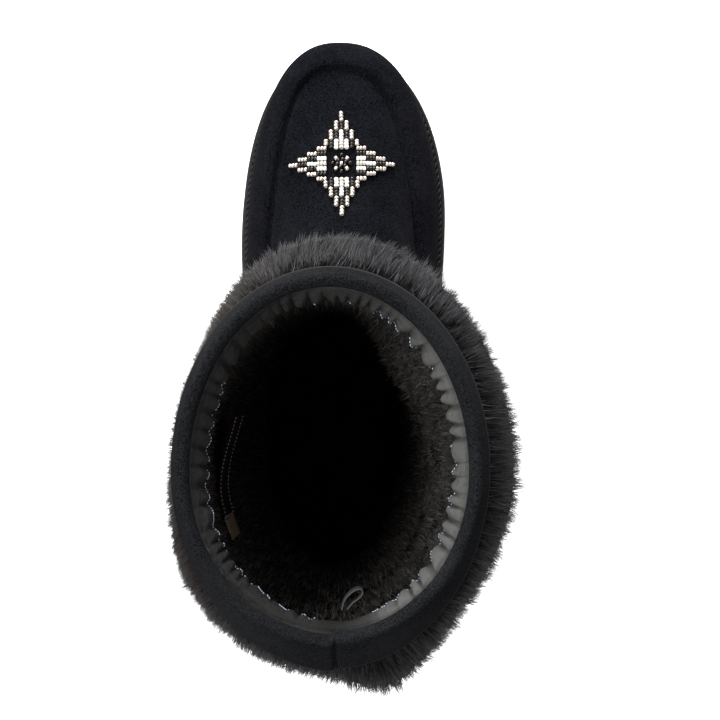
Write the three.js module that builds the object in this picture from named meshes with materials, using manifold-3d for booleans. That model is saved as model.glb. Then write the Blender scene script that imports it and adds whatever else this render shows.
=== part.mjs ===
// A mukluk boot for the left foot: a suede moccasin foot in a rubber cup sole, a fur-wrapped
// shaft, a suede collar band and a star of beads on the vamp.
// Millimetres, +Z up, toe towards +Y, medial side towards +X.
// The origin is on the floor under the middle of the heel.
import * as THREE from "three";
import { mergeVertices } from "three/addons/utils/BufferGeometryUtils.js";
import Module from "manifold-3d";

const wasm = await Module();
wasm.setup();

// Driving dimensions of the last and the shaft
const SOLE_LENGTH = 268;
const BALL_WIDTH = 94.5; // across the suede at the ball, where it enters the cup sole
const HEEL_SEAT = 42; // from the back of the sole to the middle of the heel
const INSTEP_HEIGHT = 92;
const BOOT_HEIGHT = 267; // to the top edge of the upper, under the collar band's roll
const SHAFT_LENGTH = 134; // front to back, at the fullest part of the shaft
const SHAFT_WIDTH = 109;
const SHAFT_SETBACK = 5; // how far the shaft's back stands ahead of the sole's back
const SHAFT_LEAN = -2.2; // how far the collar leans to the inside, or to the outside if negative
const MEDIAL_LEAD = 11; // how far the ball bulges forward on the inside and back on the outside
const TOE_SPRING = 7;
const TOE_LEAN = -1.5; // how far the toe tip leans to the inside, or to the outside if negative

// Walls, gaps and small parts
const CLEARANCE = 0.3;
const UPPER_WALL = 2.6;
const APRON_STEP = 1.9; // depth of the vamp plug below the side band, at their seam
const LUG_DEPTH = 3.5;
const SOLE_WEB = 5.5; // rubber between the lugs and the foot
const GROOVE_WIDTH = 5;
const GROOVE_PITCH = 16;
const CHEVRON = 7;
const ARCH_FROM = 0.32; // the stretch of the sole between heel and forefoot tread
const ARCH_TO = 0.48;
const CUP_WALL = 4;
const CUP_HEIGHT = 11; // how far the cup's side stands above its floor
const EDGE_STEP = 0.9; // how far the lower sole edge stands out from the cup's side
const INSOLE_THICKNESS = 5;
const FUR_DEPTH = 9.5;
const FUR_LEAN = 0.35; // share by which the fur is deeper at its fullest turn, and thinner opposite
const FUR_FULL_TURN = 1.95; // radians from the toe over the medial side
const LOCK_LENGTH = 21;
const LOCK_WIDTH = 24;
const LOCK_ROWS = 6;
const LOCKS_IN_ROW = 12;
const BAND_THICKNESS = 1.8;
const BAND_ROLL = 2.4; // how far the band stands above the upper's top edge
const FACING_THICKNESS = 1; // of the band's turned-in side
const BINDING_THICKNESS = 5.4;
const BINDING_DROP = 5.6; // from the upper's top edge down to the binding
const BINDING_HEIGHT = 7; // of the binding's face
const GATHERS = 22; // waves round the binding
const GATHER_DEPTH = 0.5;
const LOOP_RIBBON_WIDTH = 5;
const LOOP_RIBBON_THICKNESS = 0.9;
const LOOP_REACH = 8;
const LOOP_DROP = 12; // from the upper's top edge down to the loop
const BEAD_PITCH = 1.49; // along a lane
const LANE_PITCH = 2.42; // from lane to lane
const BEAD_HEIGHT = 2.1;
const STAR_SQUARE = 6.95; // from the star's middle to its arms
const STAR_STRETCH = 1.05; // how much longer the star is than wide
const STAR_PLACE = 0.754; // the star's middle, as a share of the sole's length from its back

const STAR_CENTRE_Y = STAR_PLACE * SOLE_LENGTH - HEEL_SEAT;
const SHAFT_CENTRE = SHAFT_SETBACK - HEEL_SEAT + SHAFT_LENGTH / 2;
const CUP_FLOOR = LUG_DEPTH + SOLE_WEB;
const SEAT = CUP_FLOOR + CLEARANCE;
const SOLE_TIP_Y = SOLE_LENGTH - HEEL_SEAT;
const SPRING_START_Y = 0.72 * SOLE_LENGTH - HEEL_SEAT;
const WAIST_INSIDE = 0.05; // how far the sole's sides draw in at the arch, as shares of the ball width
const WAIST_OUTSIDE = 0.025;
const BEADS_PER_CELL = 3;
const STAR_LANES = 3; // on each side of an arm's middle lane

// Rings of the foot. front, wide and back are stations along the sole, as shares of its length.
// toeRise and heelRise are shares of the way from the seat to the instep. half is a share of the
// ball width, toeFull and heelFull round the ends, and spring is the share of the toe spring.
const FOOT_RINGS = [
  // feather edge
  {
    front: 0.966, wide: 0.62, back: 0.028, toeRise: 0, heelRise: 0, half: 0.49,
    toeFull: 2.3, heelFull: 2.6, spring: 1,
  },
  // rim of the cup sole
  {
    front: 0.974, wide: 0.62, back: 0.02, toeRise: 0.135, heelRise: 0.135, half: 0.5,
    toeFull: 2.3, heelFull: 2.6, spring: 1,
  },
  // bulge
  {
    front: 0.992, wide: 0.615, back: 0.012, toeRise: 0.26, heelRise: 0.33, half: 0.508,
    toeFull: 2.34, heelFull: 2.6, spring: 0.8,
  },
  // shoulder
  {
    front: 0.984, wide: 0.6, back: 0.008, toeRise: 0.4, heelRise: 0.52, half: 0.487,
    toeFull: 2.4, heelFull: 2.6, spring: 0.6,
  },
  // crest of the side band
  {
    front: 0.954, wide: 0.43, back: 0.008, toeRise: 0.49, heelRise: 0.66, half: 0.44,
    toeFull: 2.75, heelFull: 2.5, spring: 0.35,
  },
  // apron seam
  {
    front: 0.93, wide: 0.24, back: 0.009, toeRise: 0.515, heelRise: 0.735, half: 0.413,
    toeFull: 2.8, heelFull: 2.3, spring: 0.25,
  },
  // vamp plug, three rings
  {
    front: 0.825, wide: 0.225, back: 0.011, toeRise: 0.6, heelRise: 0.82, half: 0.42,
    toeFull: 2.3, heelFull: 2.2, spring: 0.1,
  },
  {
    front: 0.716, wide: 0.23, back: 0.013, toeRise: 0.715, heelRise: 0.905, half: 0.43,
    toeFull: 2.1, heelFull: 2.1, spring: 0,
  },
  {
    front: 0.629, wide: 0.245, back: 0.015, toeRise: 0.85, heelRise: 0.975, half: 0.445,
    toeFull: 2, heelFull: 2, spring: 0,
  },
];

// Rings of the shaft. front and back are shares of the shaft's length from its middle, rise is
// a share of the way from the instep to the top edge, and half is a share of the shaft's width.
const SHAFT_RINGS = [
  // instep, ankle, two up the calf, lower edge of the collar band, top edge
  { front: 0.61, back: -0.53, rise: 0.005, half: 0.4 },
  { front: 0.55, back: -0.525, rise: 0.13, half: 0.418 },
  { front: 0.52, back: -0.515, rise: 0.33, half: 0.46 },
  { front: 0.507, back: -0.507, rise: 0.61, half: 0.485 },
  { front: 0.5, back: -0.5, rise: 0.885, half: 0.482 },
  { front: 0.485, back: -0.42, rise: 1, half: 0.459 },
];

// Places on the rings, counted from the feather edge
const RIM = 1;
const APRON = 5;
const INSTEP = FOOT_RINGS.length;
const TOP = FOOT_RINGS.length + SHAFT_RINGS.length - 1;
const BAND_EDGE = TOP - 1;
const FUR_START = INSTEP - 0.45;

const station = (share) => share * SOLE_LENGTH - HEEL_SEAT;
const level = (share) => SEAT + share * (INSTEP_HEIGHT - SEAT);
const shaftLevel = (share) => INSTEP_HEIGHT + share * (BOOT_HEIGHT - INSTEP_HEIGHT);

// Every ring in millimetres, with the same columns for foot and shaft
const RINGS = [
  ...FOOT_RINGS.map((r) => ({
    front: station(r.front),
    wide: station(r.wide),
    back: station(r.back),
    toeZ: level(r.toeRise),
    heelZ: level(r.heelRise),
    half: r.half * BALL_WIDTH,
    toeFull: r.toeFull,
    heelFull: r.heelFull,
    spring: r.spring,
    lead: MEDIAL_LEAD,
  })),
  ...SHAFT_RINGS.map((r) => ({
    front: SHAFT_CENTRE + r.front * SHAFT_LENGTH,
    wide: SHAFT_CENTRE,
    back: SHAFT_CENTRE + r.back * SHAFT_LENGTH,
    toeZ: shaftLevel(r.rise),
    heelZ: shaftLevel(r.rise),
    half: r.half * SHAFT_WIDTH,
    toeFull: 2,
    heelFull: 2,
    spring: 0,
    lead: 0,
  })),
];

// The slope of one column at ring i, flat at its peaks so that the curve never overshoots.
function columnSlope(column, i) {
  const before = i > 0 ? RINGS[i][column] - RINGS[i - 1][column] : 0;
  const after = i < RINGS.length - 1 ? RINGS[i + 1][column] - RINGS[i][column] : 0;
  if (i === 0) return after;
  if (i === RINGS.length - 1) return before;
  return before * after <= 0 ? 0 : (2 * before * after) / (before + after);
}

// The ring at any place v between two rows of the table, by a monotone cubic.
function ringAt(v) {
  const i = Math.min(Math.max(Math.floor(v), 0), RINGS.length - 2);
  const t = v - i;
  const ring = {};
  for (const column of Object.keys(RINGS[0])) {
    const a = RINGS[i][column];
    const b = RINGS[i + 1][column];
    const ease = t * t * (3 - 2 * t);
    ring[column] =
      a + (b - a) * ease +
      t * (1 - t) * (1 - t) * columnSlope(column, i) -
      t * t * (1 - t) * columnSlope(column, i + 1);
  }
  return ring;
}

const clamp01 = (x) => Math.min(Math.max(x, 0), 1);
const smooth = (a, b, x) => {
  const t = clamp01((x - a) / (b - a));
  return t * t * (3 - 2 * t);
};
const alongToe = (y) => clamp01((y - SPRING_START_Y) / (SOLE_TIP_Y - SPRING_START_Y));
const springAt = (y) => TOE_SPRING * alongToe(y) ** 2;
const leanAt = (y) => TOE_LEAN * alongToe(y);
const power = (x, n) => Math.sign(x) * Math.abs(x) ** (2 / n);

// A point of the upper's outer surface: ring v, turned by angle from the toe over the medial side.
function lastPoint(v, angle) {
  const r = ringAt(v);
  const medial = Math.sin(angle) >= 0 ? 1 : -1;
  const wide = r.wide + medial * r.lead;
  const c = Math.cos(angle);
  const full = c >= 0 ? r.toeFull : r.heelFull;
  const reach = c >= 0 ? r.front - wide : wide - r.back;
  const y = wide + reach * power(c, full);
  const along = (y - r.back) / (r.front - r.back);
  const drawIn = (medial > 0 ? WAIST_INSIDE : WAIST_OUTSIDE) * BALL_WIDTH * (r.lead / MEDIAL_LEAD);
  const low = v < RIM ? 1 : 1 - smooth(RIM, APRON, v);
  const waist = drawIn * low * Math.exp(-(((y - station(0.4)) / (0.16 * SOLE_LENGTH)) ** 2));
  const side = Math.sin(angle);
  const lean = leanAt(y) + SHAFT_LEAN * smooth(INSTEP, TOP, v);
  const x = r.half * power(side, full) - medial * waist * Math.abs(side) + lean;
  const z = r.heelZ + (r.toeZ - r.heelZ) * along + r.spring * springAt(y);
  return new THREE.Vector3(x, y, z);
}

// The outward normal of the upper at ring v and angle.
function lastNormal(v, angle) {
  const dv = 0.02;
  const da = 0.01;
  const up = lastPoint(Math.min(v + dv, TOP), angle).sub(lastPoint(Math.max(v - dv, 0), angle));
  const round = lastPoint(v, angle + da).sub(lastPoint(v, angle - da));
  return up.cross(round).normalize();
}

// The upper's skin moved out by offset.
const skinPoint = (v, angle, offset) =>
  lastPoint(v, angle).addScaledVector(lastNormal(v, angle), offset);

// How far the vamp plug lies below the side band: a step at the apron seam that eases out inside.
function apronDip(v, y) {
  const step = smooth(APRON - 0.45, APRON - 0.05, v) * (1 - smooth(APRON + 0.1, APRON + 2.5, v));
  return APRON_STEP * step * smooth(station(0.36), station(0.5), y);
}

// A closed mesh from a grid of loops: loops[i][j] is a THREE.Vector3, and both i and j wrap round.
function torusMesh(loops) {
  const rows = loops.length;
  const columns = loops[0].length;
  const index = [];
  for (let i = 0; i < rows; i++)
    for (let j = 0; j < columns; j++) {
      const a = i * columns + j;
      const b = i * columns + ((j + 1) % columns);
      const c = ((i + 1) % rows) * columns + ((j + 1) % columns);
      const d = ((i + 1) % rows) * columns + j;
      if (loops[(i + 1) % rows][j].z > loops[i][j].z) index.push(a, b, c, a, c, d);
      else index.push(a, b, d, b, c, d);
    }
  return meshOf(loops.flat(), index);
}

// A closed mesh from stacked loops whose first and last loop are each filled round their middle.
function cappedMesh(loops) {
  const columns = loops[0].length;
  const points = loops.flat();
  const index = [];
  for (let i = 0; i + 1 < loops.length; i++)
    for (let j = 0; j < columns; j++) {
      const a = i * columns + j;
      const b = i * columns + ((j + 1) % columns);
      index.push(a, b, b + columns, a, b + columns, a + columns);
    }
  const middle = (loop) => loop.reduce((sum, p) => sum.add(p), new THREE.Vector3()).divideScalar(columns);
  const last = (loops.length - 1) * columns;
  points.push(middle(loops[0]), middle(loops[loops.length - 1]));
  for (let j = 0; j < columns; j++) {
    const next = (j + 1) % columns;
    index.push(points.length - 2, next, j, points.length - 1, last + j, last + next);
  }
  return meshOf(points, index);
}

// A mesh from points and triangles that wind the same way, turned so that its faces look out.
function meshOf(points, index) {
  let volume = 0;
  for (let i = 0; i < index.length; i += 3)
    volume += points[index[i]].dot(points[index[i + 1]].clone().cross(points[index[i + 2]]));
  if (volume < 0) index.reverse();
  const geometry = new THREE.BufferGeometry();
  const numbers = points.flatMap((p) => [p.x, p.y, p.z]);
  geometry.setAttribute("position", new THREE.Float32BufferAttribute(numbers, 3));
  geometry.setIndex(index);
  return geometry;
}

// A three.js geometry as a solid for cutting and joining.
function toSolid(geometry) {
  const bare = geometry.clone();
  bare.deleteAttribute("normal");
  bare.deleteAttribute("uv");
  const merged = mergeVertices(bare, 1e-4);
  return new wasm.Manifold(
    new wasm.Mesh({
      numProp: 3,
      vertProperties: merged.attributes.position.array,
      triVerts: new Uint32Array(merged.index.array),
    }),
  );
}

function toGeometry(solid) {
  const mesh = solid.getMesh();
  const geometry = new THREE.BufferGeometry();
  const numbers = new Float32Array(mesh.vertProperties);
  geometry.setAttribute("position", new THREE.BufferAttribute(numbers, 3));
  geometry.setIndex(new THREE.BufferAttribute(new Uint32Array(mesh.triVerts), 1));
  geometry.computeVertexNormals();
  return geometry;
}

const joined = (solids) => solids.reduce((whole, solid) => whole.add(solid));
const angles = (count) => Array.from({ length: count }, (_, i) => (i / count) * 2 * Math.PI);
const between = (a, b, count) =>
  Array.from({ length: count }, (_, i) => a + ((b - a) * i) / (count - 1));

// Facets shared by all the pieces that lie on the upper, so that their gaps stay even
const AROUND = angles(40);
const FACING_FOOT = TOP - 0.25; // lower edge of the band's turned-in side
const BINDING_MIDDLE = TOP - 0.6;
const BINDING_FOOT = BAND_EDGE + 0.04;
const PLUG_PLACES = [4.5, 4.8, 5.05, 5.5, 6.2, 7, 7.8];
const SHAFT_PLACES = [
  FUR_START, INSTEP, INSTEP + 0.7, INSTEP + 1.5, BAND_EDGE - 1.5, BAND_EDGE - 0.5, BAND_EDGE,
  BINDING_MIDDLE, FACING_FOOT, TOP,
];

// A repeatable random number from 0 to 1 for a whole number.
function chance(n) {
  const s = Math.sin(n * 12.9898) * 43758.5453;
  return s - Math.floor(s);
}

// Upper: suede foot and shaft in one wall, open at the collar and underneath
function makeUpper() {
  const outside = [0, 0.5, RIM, 1.5, 2.2, 3, 4, ...PLUG_PLACES, ...SHAFT_PLACES];
  const inside = [0, RIM, 2.2, 3.3, 4.6, 5.1, 6.2, 7.4, ...SHAFT_PLACES];
  const wall = (places, depth) => places.map((v) =>
    AROUND.map((a) => skinPoint(v, a, -depth - apronDip(v, lastPoint(v, a).y))));
  const outer = wall(outside, 0);
  const inner = wall(inside, UPPER_WALL);
  return torusMesh([...outer, ...inner.reverse()]);
}

// A loop round the boot in plan: the upper's rim moved out by offset, at a height over the sole's
// underside that rises with the toe spring.
function soleLoop(offset, height) {
  return AROUND.map((a) => {
    const p = lastPoint(RIM, a);
    const da = 0.01;
    const along = lastPoint(RIM, a + da).sub(lastPoint(RIM, a - da));
    const out = new THREE.Vector3(-along.y, along.x, 0).normalize().negate();
    if (out.dot(new THREE.Vector3(p.x, p.y - station(0.5), 0)) < 0) out.negate();
    p.addScaledVector(out, offset);
    return new THREE.Vector3(p.x, p.y, height + springAt(p.y));
  });
}

// A loop shrunk towards the middle of the sole, on a surface that follows the toe spring.
function innerLoop(loop, share, height) {
  const y0 = station(0.5);
  return loop.map((p) => {
    const y = y0 + (p.y - y0) * share;
    return new THREE.Vector3(p.x * share, y, height + springAt(y));
  });
}

// A stack of loops that starts and ends at the middle of the sole.
function soleStack(loops, bottom, top) {
  const shares = [0.45, 0.78];
  return [
    ...shares.map((s) => innerLoop(loops[0], s, bottom)),
    ...loops,
    ...shares.reverse().map((s) => innerLoop(loops[loops.length - 1], s, top)),
  ];
}

const CUP_OUTSIDE = CLEARANCE + CUP_WALL;
const CUP_TOP = CUP_FLOOR + CUP_HEIGHT;
const STEP_LOW = LUG_DEPTH + 0.62 * (CUP_TOP - LUG_DEPTH);

// Outsole: a rubber cup with a stepped side, its tread cut by chevron grooves
function makeOutsole() {
  const profile = [
    [CUP_OUTSIDE - 1.6, 0],
    [CUP_OUTSIDE - 0.8, LUG_DEPTH],
    [CUP_OUTSIDE + EDGE_STEP, LUG_DEPTH + 1.4],
    [CUP_OUTSIDE + EDGE_STEP, STEP_LOW],
    [CUP_OUTSIDE, STEP_LOW + EDGE_STEP],
    [CUP_OUTSIDE, CUP_TOP - 0.8],
    [CUP_OUTSIDE - 0.8, CUP_TOP],
    [CLEARANCE, CUP_TOP],
    [CLEARANCE, CUP_FLOOR],
  ];
  const loops = profile.map(([offset, height]) => soleLoop(offset, height));
  const cup = toSolid(cappedMesh(soleStack(loops, 0, CUP_FLOOR)));
  return toGeometry(cup.subtract(joined(makeGrooves())));
}

// Tread grooves: chevrons across forefoot and heel, and the arch cut free of the floor
function makeGrooves() {
  const reach = BALL_WIDTH;
  const prism = (corners, height) => {
    const shape = new THREE.Shape(corners.map(([x, y]) => new THREE.Vector2(x, y)));
    const block = new THREE.ExtrudeGeometry(shape, { depth: height + reach, bevelEnabled: false });
    return toSolid(block.translate(0, 0, -reach));
  };
  const archBack = station(ARCH_FROM);
  const archFront = station(ARCH_TO);
  const arch = [[-reach, archBack], [reach, archBack], [reach, archFront], [-reach, archFront]];
  const grooves = [prism(arch, LUG_DEPTH - 1)];
  const groove = (y, way) => {
    const ends = y - 2 * way * CHEVRON;
    const half = GROOVE_WIDTH / 2;
    return [
      [-reach, ends - half], [-reach / 4, y - half], [reach / 4, y - half], [reach, ends - half],
      [reach, ends + half], [reach / 4, y + half], [-reach / 4, y + half], [-reach, ends + half],
    ];
  };
  const first = Math.ceil(station(0) / GROOVE_PITCH);
  for (let i = first; i * GROOVE_PITCH < station(1); i++) {
    const y = (i + 0.5) * GROOVE_PITCH;
    if (y > archBack - GROOVE_WIDTH && y < archFront + GROOVE_WIDTH) continue;
    grooves.push(prism(groove(y, y < archBack ? -1 : 1), LUG_DEPTH + springAt(y)));
  }
  return grooves;
}

// Insole: the footbed, inside the upper's wall and on the cup's floor
function makeInsole() {
  const bottom = CUP_FLOOR + 2 * CLEARANCE;
  const edge = -UPPER_WALL - 2 * CLEARANCE - (lastPoint(RIM, 0).y - lastPoint(0, 0).y);
  const loops = [
    soleLoop(edge, bottom),
    soleLoop(edge, bottom + INSOLE_THICKNESS - 1.5),
    soleLoop(edge - 1.5, bottom + INSOLE_THICKNESS),
  ];
  return cappedMesh(soleStack(loops, bottom, bottom + INSOLE_THICKNESS));
}

// Fur wrap: a deep sleeve round the shaft with locks of hair fused on, all over and at its hem
function makeFurWrap() {
  const end = BAND_EDGE - 0.04;
  const deep = (v, a) => {
    const rise = smooth(FUR_START, FUR_START + 0.9, v);
    const fall = 1 - 0.4 * smooth(BAND_EDGE - 0.5, BAND_EDGE, v);
    const lean = 1 + FUR_LEAN * Math.cos(a - FUR_FULL_TURN);
    return CLEARANCE + FUR_DEPTH * lean * (0.6 + 0.4 * rise) * fall;
  };
  const stack = (places, offset) =>
    toSolid(cappedMesh(places.map((v) => AROUND.map((a) => skinPoint(v, a, offset(v, a))))));
  const solids = [stack([...SHAFT_PLACES.filter((v) => v < end), end], deep)];
  const core = stack([...PLUG_PLACES, ...SHAFT_PLACES.filter((v) => v <= BAND_EDGE)], () => CLEARANCE);
  const rows = between(FUR_START + 0.12, end - 0.35, LOCK_ROWS);
  rows.forEach((v, row) => {
    for (let k = 0; k < LOCKS_IN_ROW; k++) {
      const seed = row * 31 + k * 7 + 1;
      const shift = (row % 2) / 2 + 0.5 * (chance(seed) - 0.5);
      const angle = ((k + shift) / LOCKS_IN_ROW) * 2 * Math.PI;
      solids.push(makeLock(v, angle, deep(v, angle), seed));
    }
  });
  return toGeometry(joined(solids).subtract(core));
}

// One lock of fur: a pointed tuft on the sleeve that leans out and down.
function makeLock(v, angle, depth, seed) {
  const normal = lastNormal(v, angle);
  const root = lastPoint(v, angle).addScaledVector(normal, depth - 0.33 * FUR_DEPTH);
  const side = new THREE.Vector3(0, 0, 1).cross(normal).normalize();
  const down = normal.clone().cross(side).normalize();
  if (down.z > 0) down.negate();
  const width = (LOCK_WIDTH / 2) * (0.8 + 0.4 * chance(seed + 3));
  const length = LOCK_LENGTH * (0.8 + 0.4 * chance(seed + 5));
  const tip = root.clone()
    .addScaledVector(normal, 0.42 * length)
    .addScaledVector(down, 0.85 * length)
    .addScaledVector(side, 0.5 * length * (chance(seed + 9) - 0.5));
  const base = [
    root.clone().addScaledVector(side, width),
    root.clone().addScaledVector(down, 0.5 * width),
    root.clone().addScaledVector(side, -width),
    root.clone().addScaledVector(down, -0.9 * width),
  ];
  return toSolid(meshOf([...base, tip], [0, 1, 4, 1, 2, 4, 2, 3, 4, 3, 0, 4, 0, 2, 1, 0, 3, 2]));
}

// A ring round the boot whose section is a closed list of [place, offset, lift] corners.
function sectionRing(section, ruffle = () => 0) {
  return section.map(([v, offset, lift], i) =>
    AROUND.map((a) => {
      const p = skinPoint(v, a, offset + ruffle(i, a));
      p.z += lift;
      return p;
    }));
}

// Collar band: suede laid over the fur's top edge, rolled over the rim and turned in
function makeCollarBand() {
  const inside = -UPPER_WALL - CLEARANCE;
  const section = [
    [BAND_EDGE, CLEARANCE, 0],
    [BAND_EDGE, CLEARANCE + BAND_THICKNESS, 0],
    [BINDING_MIDDLE, CLEARANCE + BAND_THICKNESS, 0],
    [FACING_FOOT, CLEARANCE + BAND_THICKNESS, 0],
    [TOP, CLEARANCE + 0.8 * BAND_THICKNESS, 0.2 * BAND_ROLL],
    [TOP, 0, BAND_ROLL],
    [TOP, -UPPER_WALL, BAND_ROLL],
    [TOP, inside - FACING_THICKNESS, 0.3 * BAND_ROLL],
    [FACING_FOOT, inside - FACING_THICKNESS, 0],
    [FACING_FOOT, inside, 0],
    [TOP, inside, 0],
    [TOP, inside, CLEARANCE],
    [TOP, CLEARANCE, CLEARANCE],
    [TOP, CLEARANCE, 0],
    [FACING_FOOT, CLEARANCE, 0],
    [BINDING_MIDDLE, CLEARANCE, 0],
  ];
  return torusMesh(sectionRing(section));
}

// Collar binding: a gathered casing inside the collar, under the band's turned-in edge
function makeCollarBinding() {
  const back = -UPPER_WALL - CLEARANCE;
  const face = back - BINDING_THICKNESS;
  const section = [
    [FACING_FOOT - 0.03, back, 0],
    [TOP, 0.5 * (back + face), -BINDING_DROP],
    [TOP, face, -BINDING_DROP - 1.5],
    [TOP, face, -BINDING_DROP - BINDING_HEIGHT],
    [BINDING_FOOT, back, 0],
    [BINDING_MIDDLE, back, 0],
  ];
  const ruffle = (i, a) => (i === 2 || i === 3 ? GATHER_DEPTH * Math.sin(GATHERS * a) : 0);
  return torusMesh(sectionRing(section, ruffle));
}

// The run of the pull loop's ribbon, as shares of its reach: inward from the binding, and across
const LOOP_RUN = [
  { inward: -0.12, across: -0.02 }, { inward: 0.34, across: 0.11 }, { inward: 0.68, across: 0.39 },
  { inward: 0.89, across: 0.74 }, { inward: 0.85, across: 0.97 }, { inward: 0.66, across: 0.97 },
  { inward: 0.45, across: 0.8 }, { inward: 0.24, across: 0.51 }, { inward: -0.08, across: 0.24 },
];

// Pull loop: a ribbon on edge, sewn to the binding at the back and bent into a long teardrop
function makePullLoop() {
  const face = -UPPER_WALL - 2 * CLEARANCE - BINDING_THICKNESS - 2;
  const foot = skinPoint(TOP, Math.PI - 0.1, face);
  foot.z = BOOT_HEIGHT - LOOP_DROP;
  const broad = new THREE.Vector3(0.3, -0.2, 1).normalize();
  const path = new THREE.CatmullRomCurve3(
    LOOP_RUN.map(({ inward, across }) =>
      foot.clone().add(new THREE.Vector3(across * LOOP_REACH, inward * LOOP_REACH, 0))));
  const loops = between(0, 1, 25).map((t) => {
    const p = path.getPoint(t);
    const thick = path.getTangent(t).cross(broad).normalize();
    return [[-1, -1], [1, -1], [1, 1], [-1, 1]].map(([w, h]) =>
      p.clone()
        .addScaledVector(broad, (w * LOOP_RIBBON_WIDTH) / 2)
        .addScaledVector(thick, (h * LOOP_RIBBON_THICKNESS) / 2));
  });
  return cappedMesh(loops);
}

// The height of the vamp over a point in plan, found by halving between rings.
function vampHeight(x, y) {
  let low = APRON - 2;
  let high = INSTEP;
  const across = x - leanAt(y);
  const inside = (v) => {
    const r = ringAt(v);
    const wide = r.wide + (across >= 0 ? 1 : -1) * r.lead;
    const reach = Math.abs(y - wide) / (r.front - wide);
    return (Math.abs(across) / r.half) ** r.toeFull + reach ** r.toeFull < 1;
  };
  for (let i = 0; i < 30; i++) {
    const v = (low + high) / 2;
    if (inside(v)) low = v;
    else high = v;
  }
  const r = ringAt(low);
  const along = (y - r.back) / (r.front - r.back);
  return r.heelZ + (r.toeZ - r.heelZ) * along + r.spring * springAt(y) - apronDip(low, y);
}

// One arm of the bead star, in lanes that shorten by a cell from the middle lane outwards.
function starArm(turn) {
  const cell = BEADS_PER_CELL * BEAD_PITCH;
  const edges = between(-STAR_LANES - 0.5, STAR_LANES + 0.5, 2 * STAR_LANES + 2);
  const cellsIn = (lane) => STAR_LANES + 1 - Math.abs(lane);
  const points = [];
  const index = [];
  const places = new Map();
  const corner = (i, j, top) => {
    const key = i + "," + j + "," + top;
    if (!places.has(key)) {
      const across = edges[i] * LANE_PITCH;
      const along = STAR_SQUARE + j * cell;
      const x = across * Math.cos(turn) - along * Math.sin(turn);
      const y = STAR_CENTRE_Y + STAR_STRETCH * (across * Math.sin(turn) + along * Math.cos(turn));
      places.set(key, points.length);
      points.push(new THREE.Vector3(x, y, vampHeight(x, y) + 2 * CLEARANCE + (top ? BEAD_HEIGHT : 0)));
    }
    return places.get(key);
  };
  const quad = (a, b, c, d) => index.push(a, b, c, a, c, d);
  const filled = (i, j) => i >= 0 && i <= 2 * STAR_LANES && j >= 0 && j < cellsIn(i - STAR_LANES);
  // An upright side between two corners in plan, with the cell on its left
  const side = ([i, j], [k, l]) => quad(corner(k, l, 0), corner(i, j, 0), corner(i, j, 1), corner(k, l, 1));
  for (let i = 0; i <= 2 * STAR_LANES; i++)
    for (let j = 0; j < cellsIn(i - STAR_LANES); j++) {
      const [a, b, c, d] = [[i, j], [i + 1, j], [i + 1, j + 1], [i, j + 1]];
      quad(...[a, b, c, d].map(([k, l]) => corner(k, l, 1)));
      quad(...[a, d, c, b].map(([k, l]) => corner(k, l, 0)));
      if (!filled(i, j - 1)) side(b, a);
      if (!filled(i, j + 1)) side(d, c);
      if (!filled(i - 1, j)) side(a, d);
      if (!filled(i + 1, j)) side(c, b);
    }
  return toSolid(meshOf(points, index));
}

// Bead star: four stepped arms of beads in one piece, draped on the vamp
function makeBeadStar() {
  const arms = [0, 1, 2, 3].map((quarter) => starArm((quarter * Math.PI) / 2));
  return toGeometry(joined(arms));
}

// Bead rosette: the small flower of beads in the star's open middle
function makeBeadRosette() {
  const radius = 1.75 * LANE_PITCH;
  const ring = (r, lift) => angles(12).map((a) => {
    const x = -r * Math.sin(a);
    const y = STAR_CENTRE_Y + r * Math.cos(a);
    return new THREE.Vector3(x, y, vampHeight(x, y) + 2 * CLEARANCE + lift);
  });
  return cappedMesh([ring(radius, 0), ring(radius, 0.7 * BEAD_HEIGHT), ring(0.7 * radius, BEAD_HEIGHT)]);
}

// Finishes
const suede = new THREE.MeshStandardMaterial({ color: 0x17181b, roughness: 0.95, metalness: 0 });
const rubber = new THREE.MeshStandardMaterial({ color: 0x141415, roughness: 0.7, metalness: 0 });
const fur = new THREE.MeshStandardMaterial({ color: 0x1e1e21, roughness: 0.8, metalness: 0 });
const plush = new THREE.MeshStandardMaterial({ color: 0x191716, roughness: 0.95, metalness: 0 });
const satin = new THREE.MeshStandardMaterial({ color: 0x2b2d30, roughness: 0.4, metalness: 0 });
const glassBeads = new THREE.MeshStandardMaterial({ color: 0xd9d2c6, roughness: 0.2, metalness: 0.3 });

const boot = new THREE.Group();
for (const [name, geometry, material] of [
  ["outsole", makeOutsole(), rubber],
  ["insole", makeInsole(), plush],
  ["upper", makeUpper(), suede],
  ["fur_wrap", makeFurWrap(), fur],
  ["collar_band", makeCollarBand(), suede],
  ["collar_binding", makeCollarBinding(), satin],
  ["pull_loop", makePullLoop(), satin],
  ["bead_star", makeBeadStar(), glassBeads],
  ["bead_rosette", makeBeadRosette(), glassBeads],
]) {
  const mesh = new THREE.Mesh(geometry, material);
  mesh.name = name;
  boot.add(mesh);
}

export default boot;
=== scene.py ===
"""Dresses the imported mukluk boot: suede foot, cup sole, fur, gathered collar, plush and beads.

The boot's surface is one function of two parameters, ring and angle, worked out from the same
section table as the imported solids. Every piece is a grid, a sweep or a field of small shapes on it.
Lengths are in millimetres in this file, and become metres when a mesh is made. Nodes, lamps and
textures are in metres.
"""

import logging
import math
from dataclasses import dataclass
from enum import Enum

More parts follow.
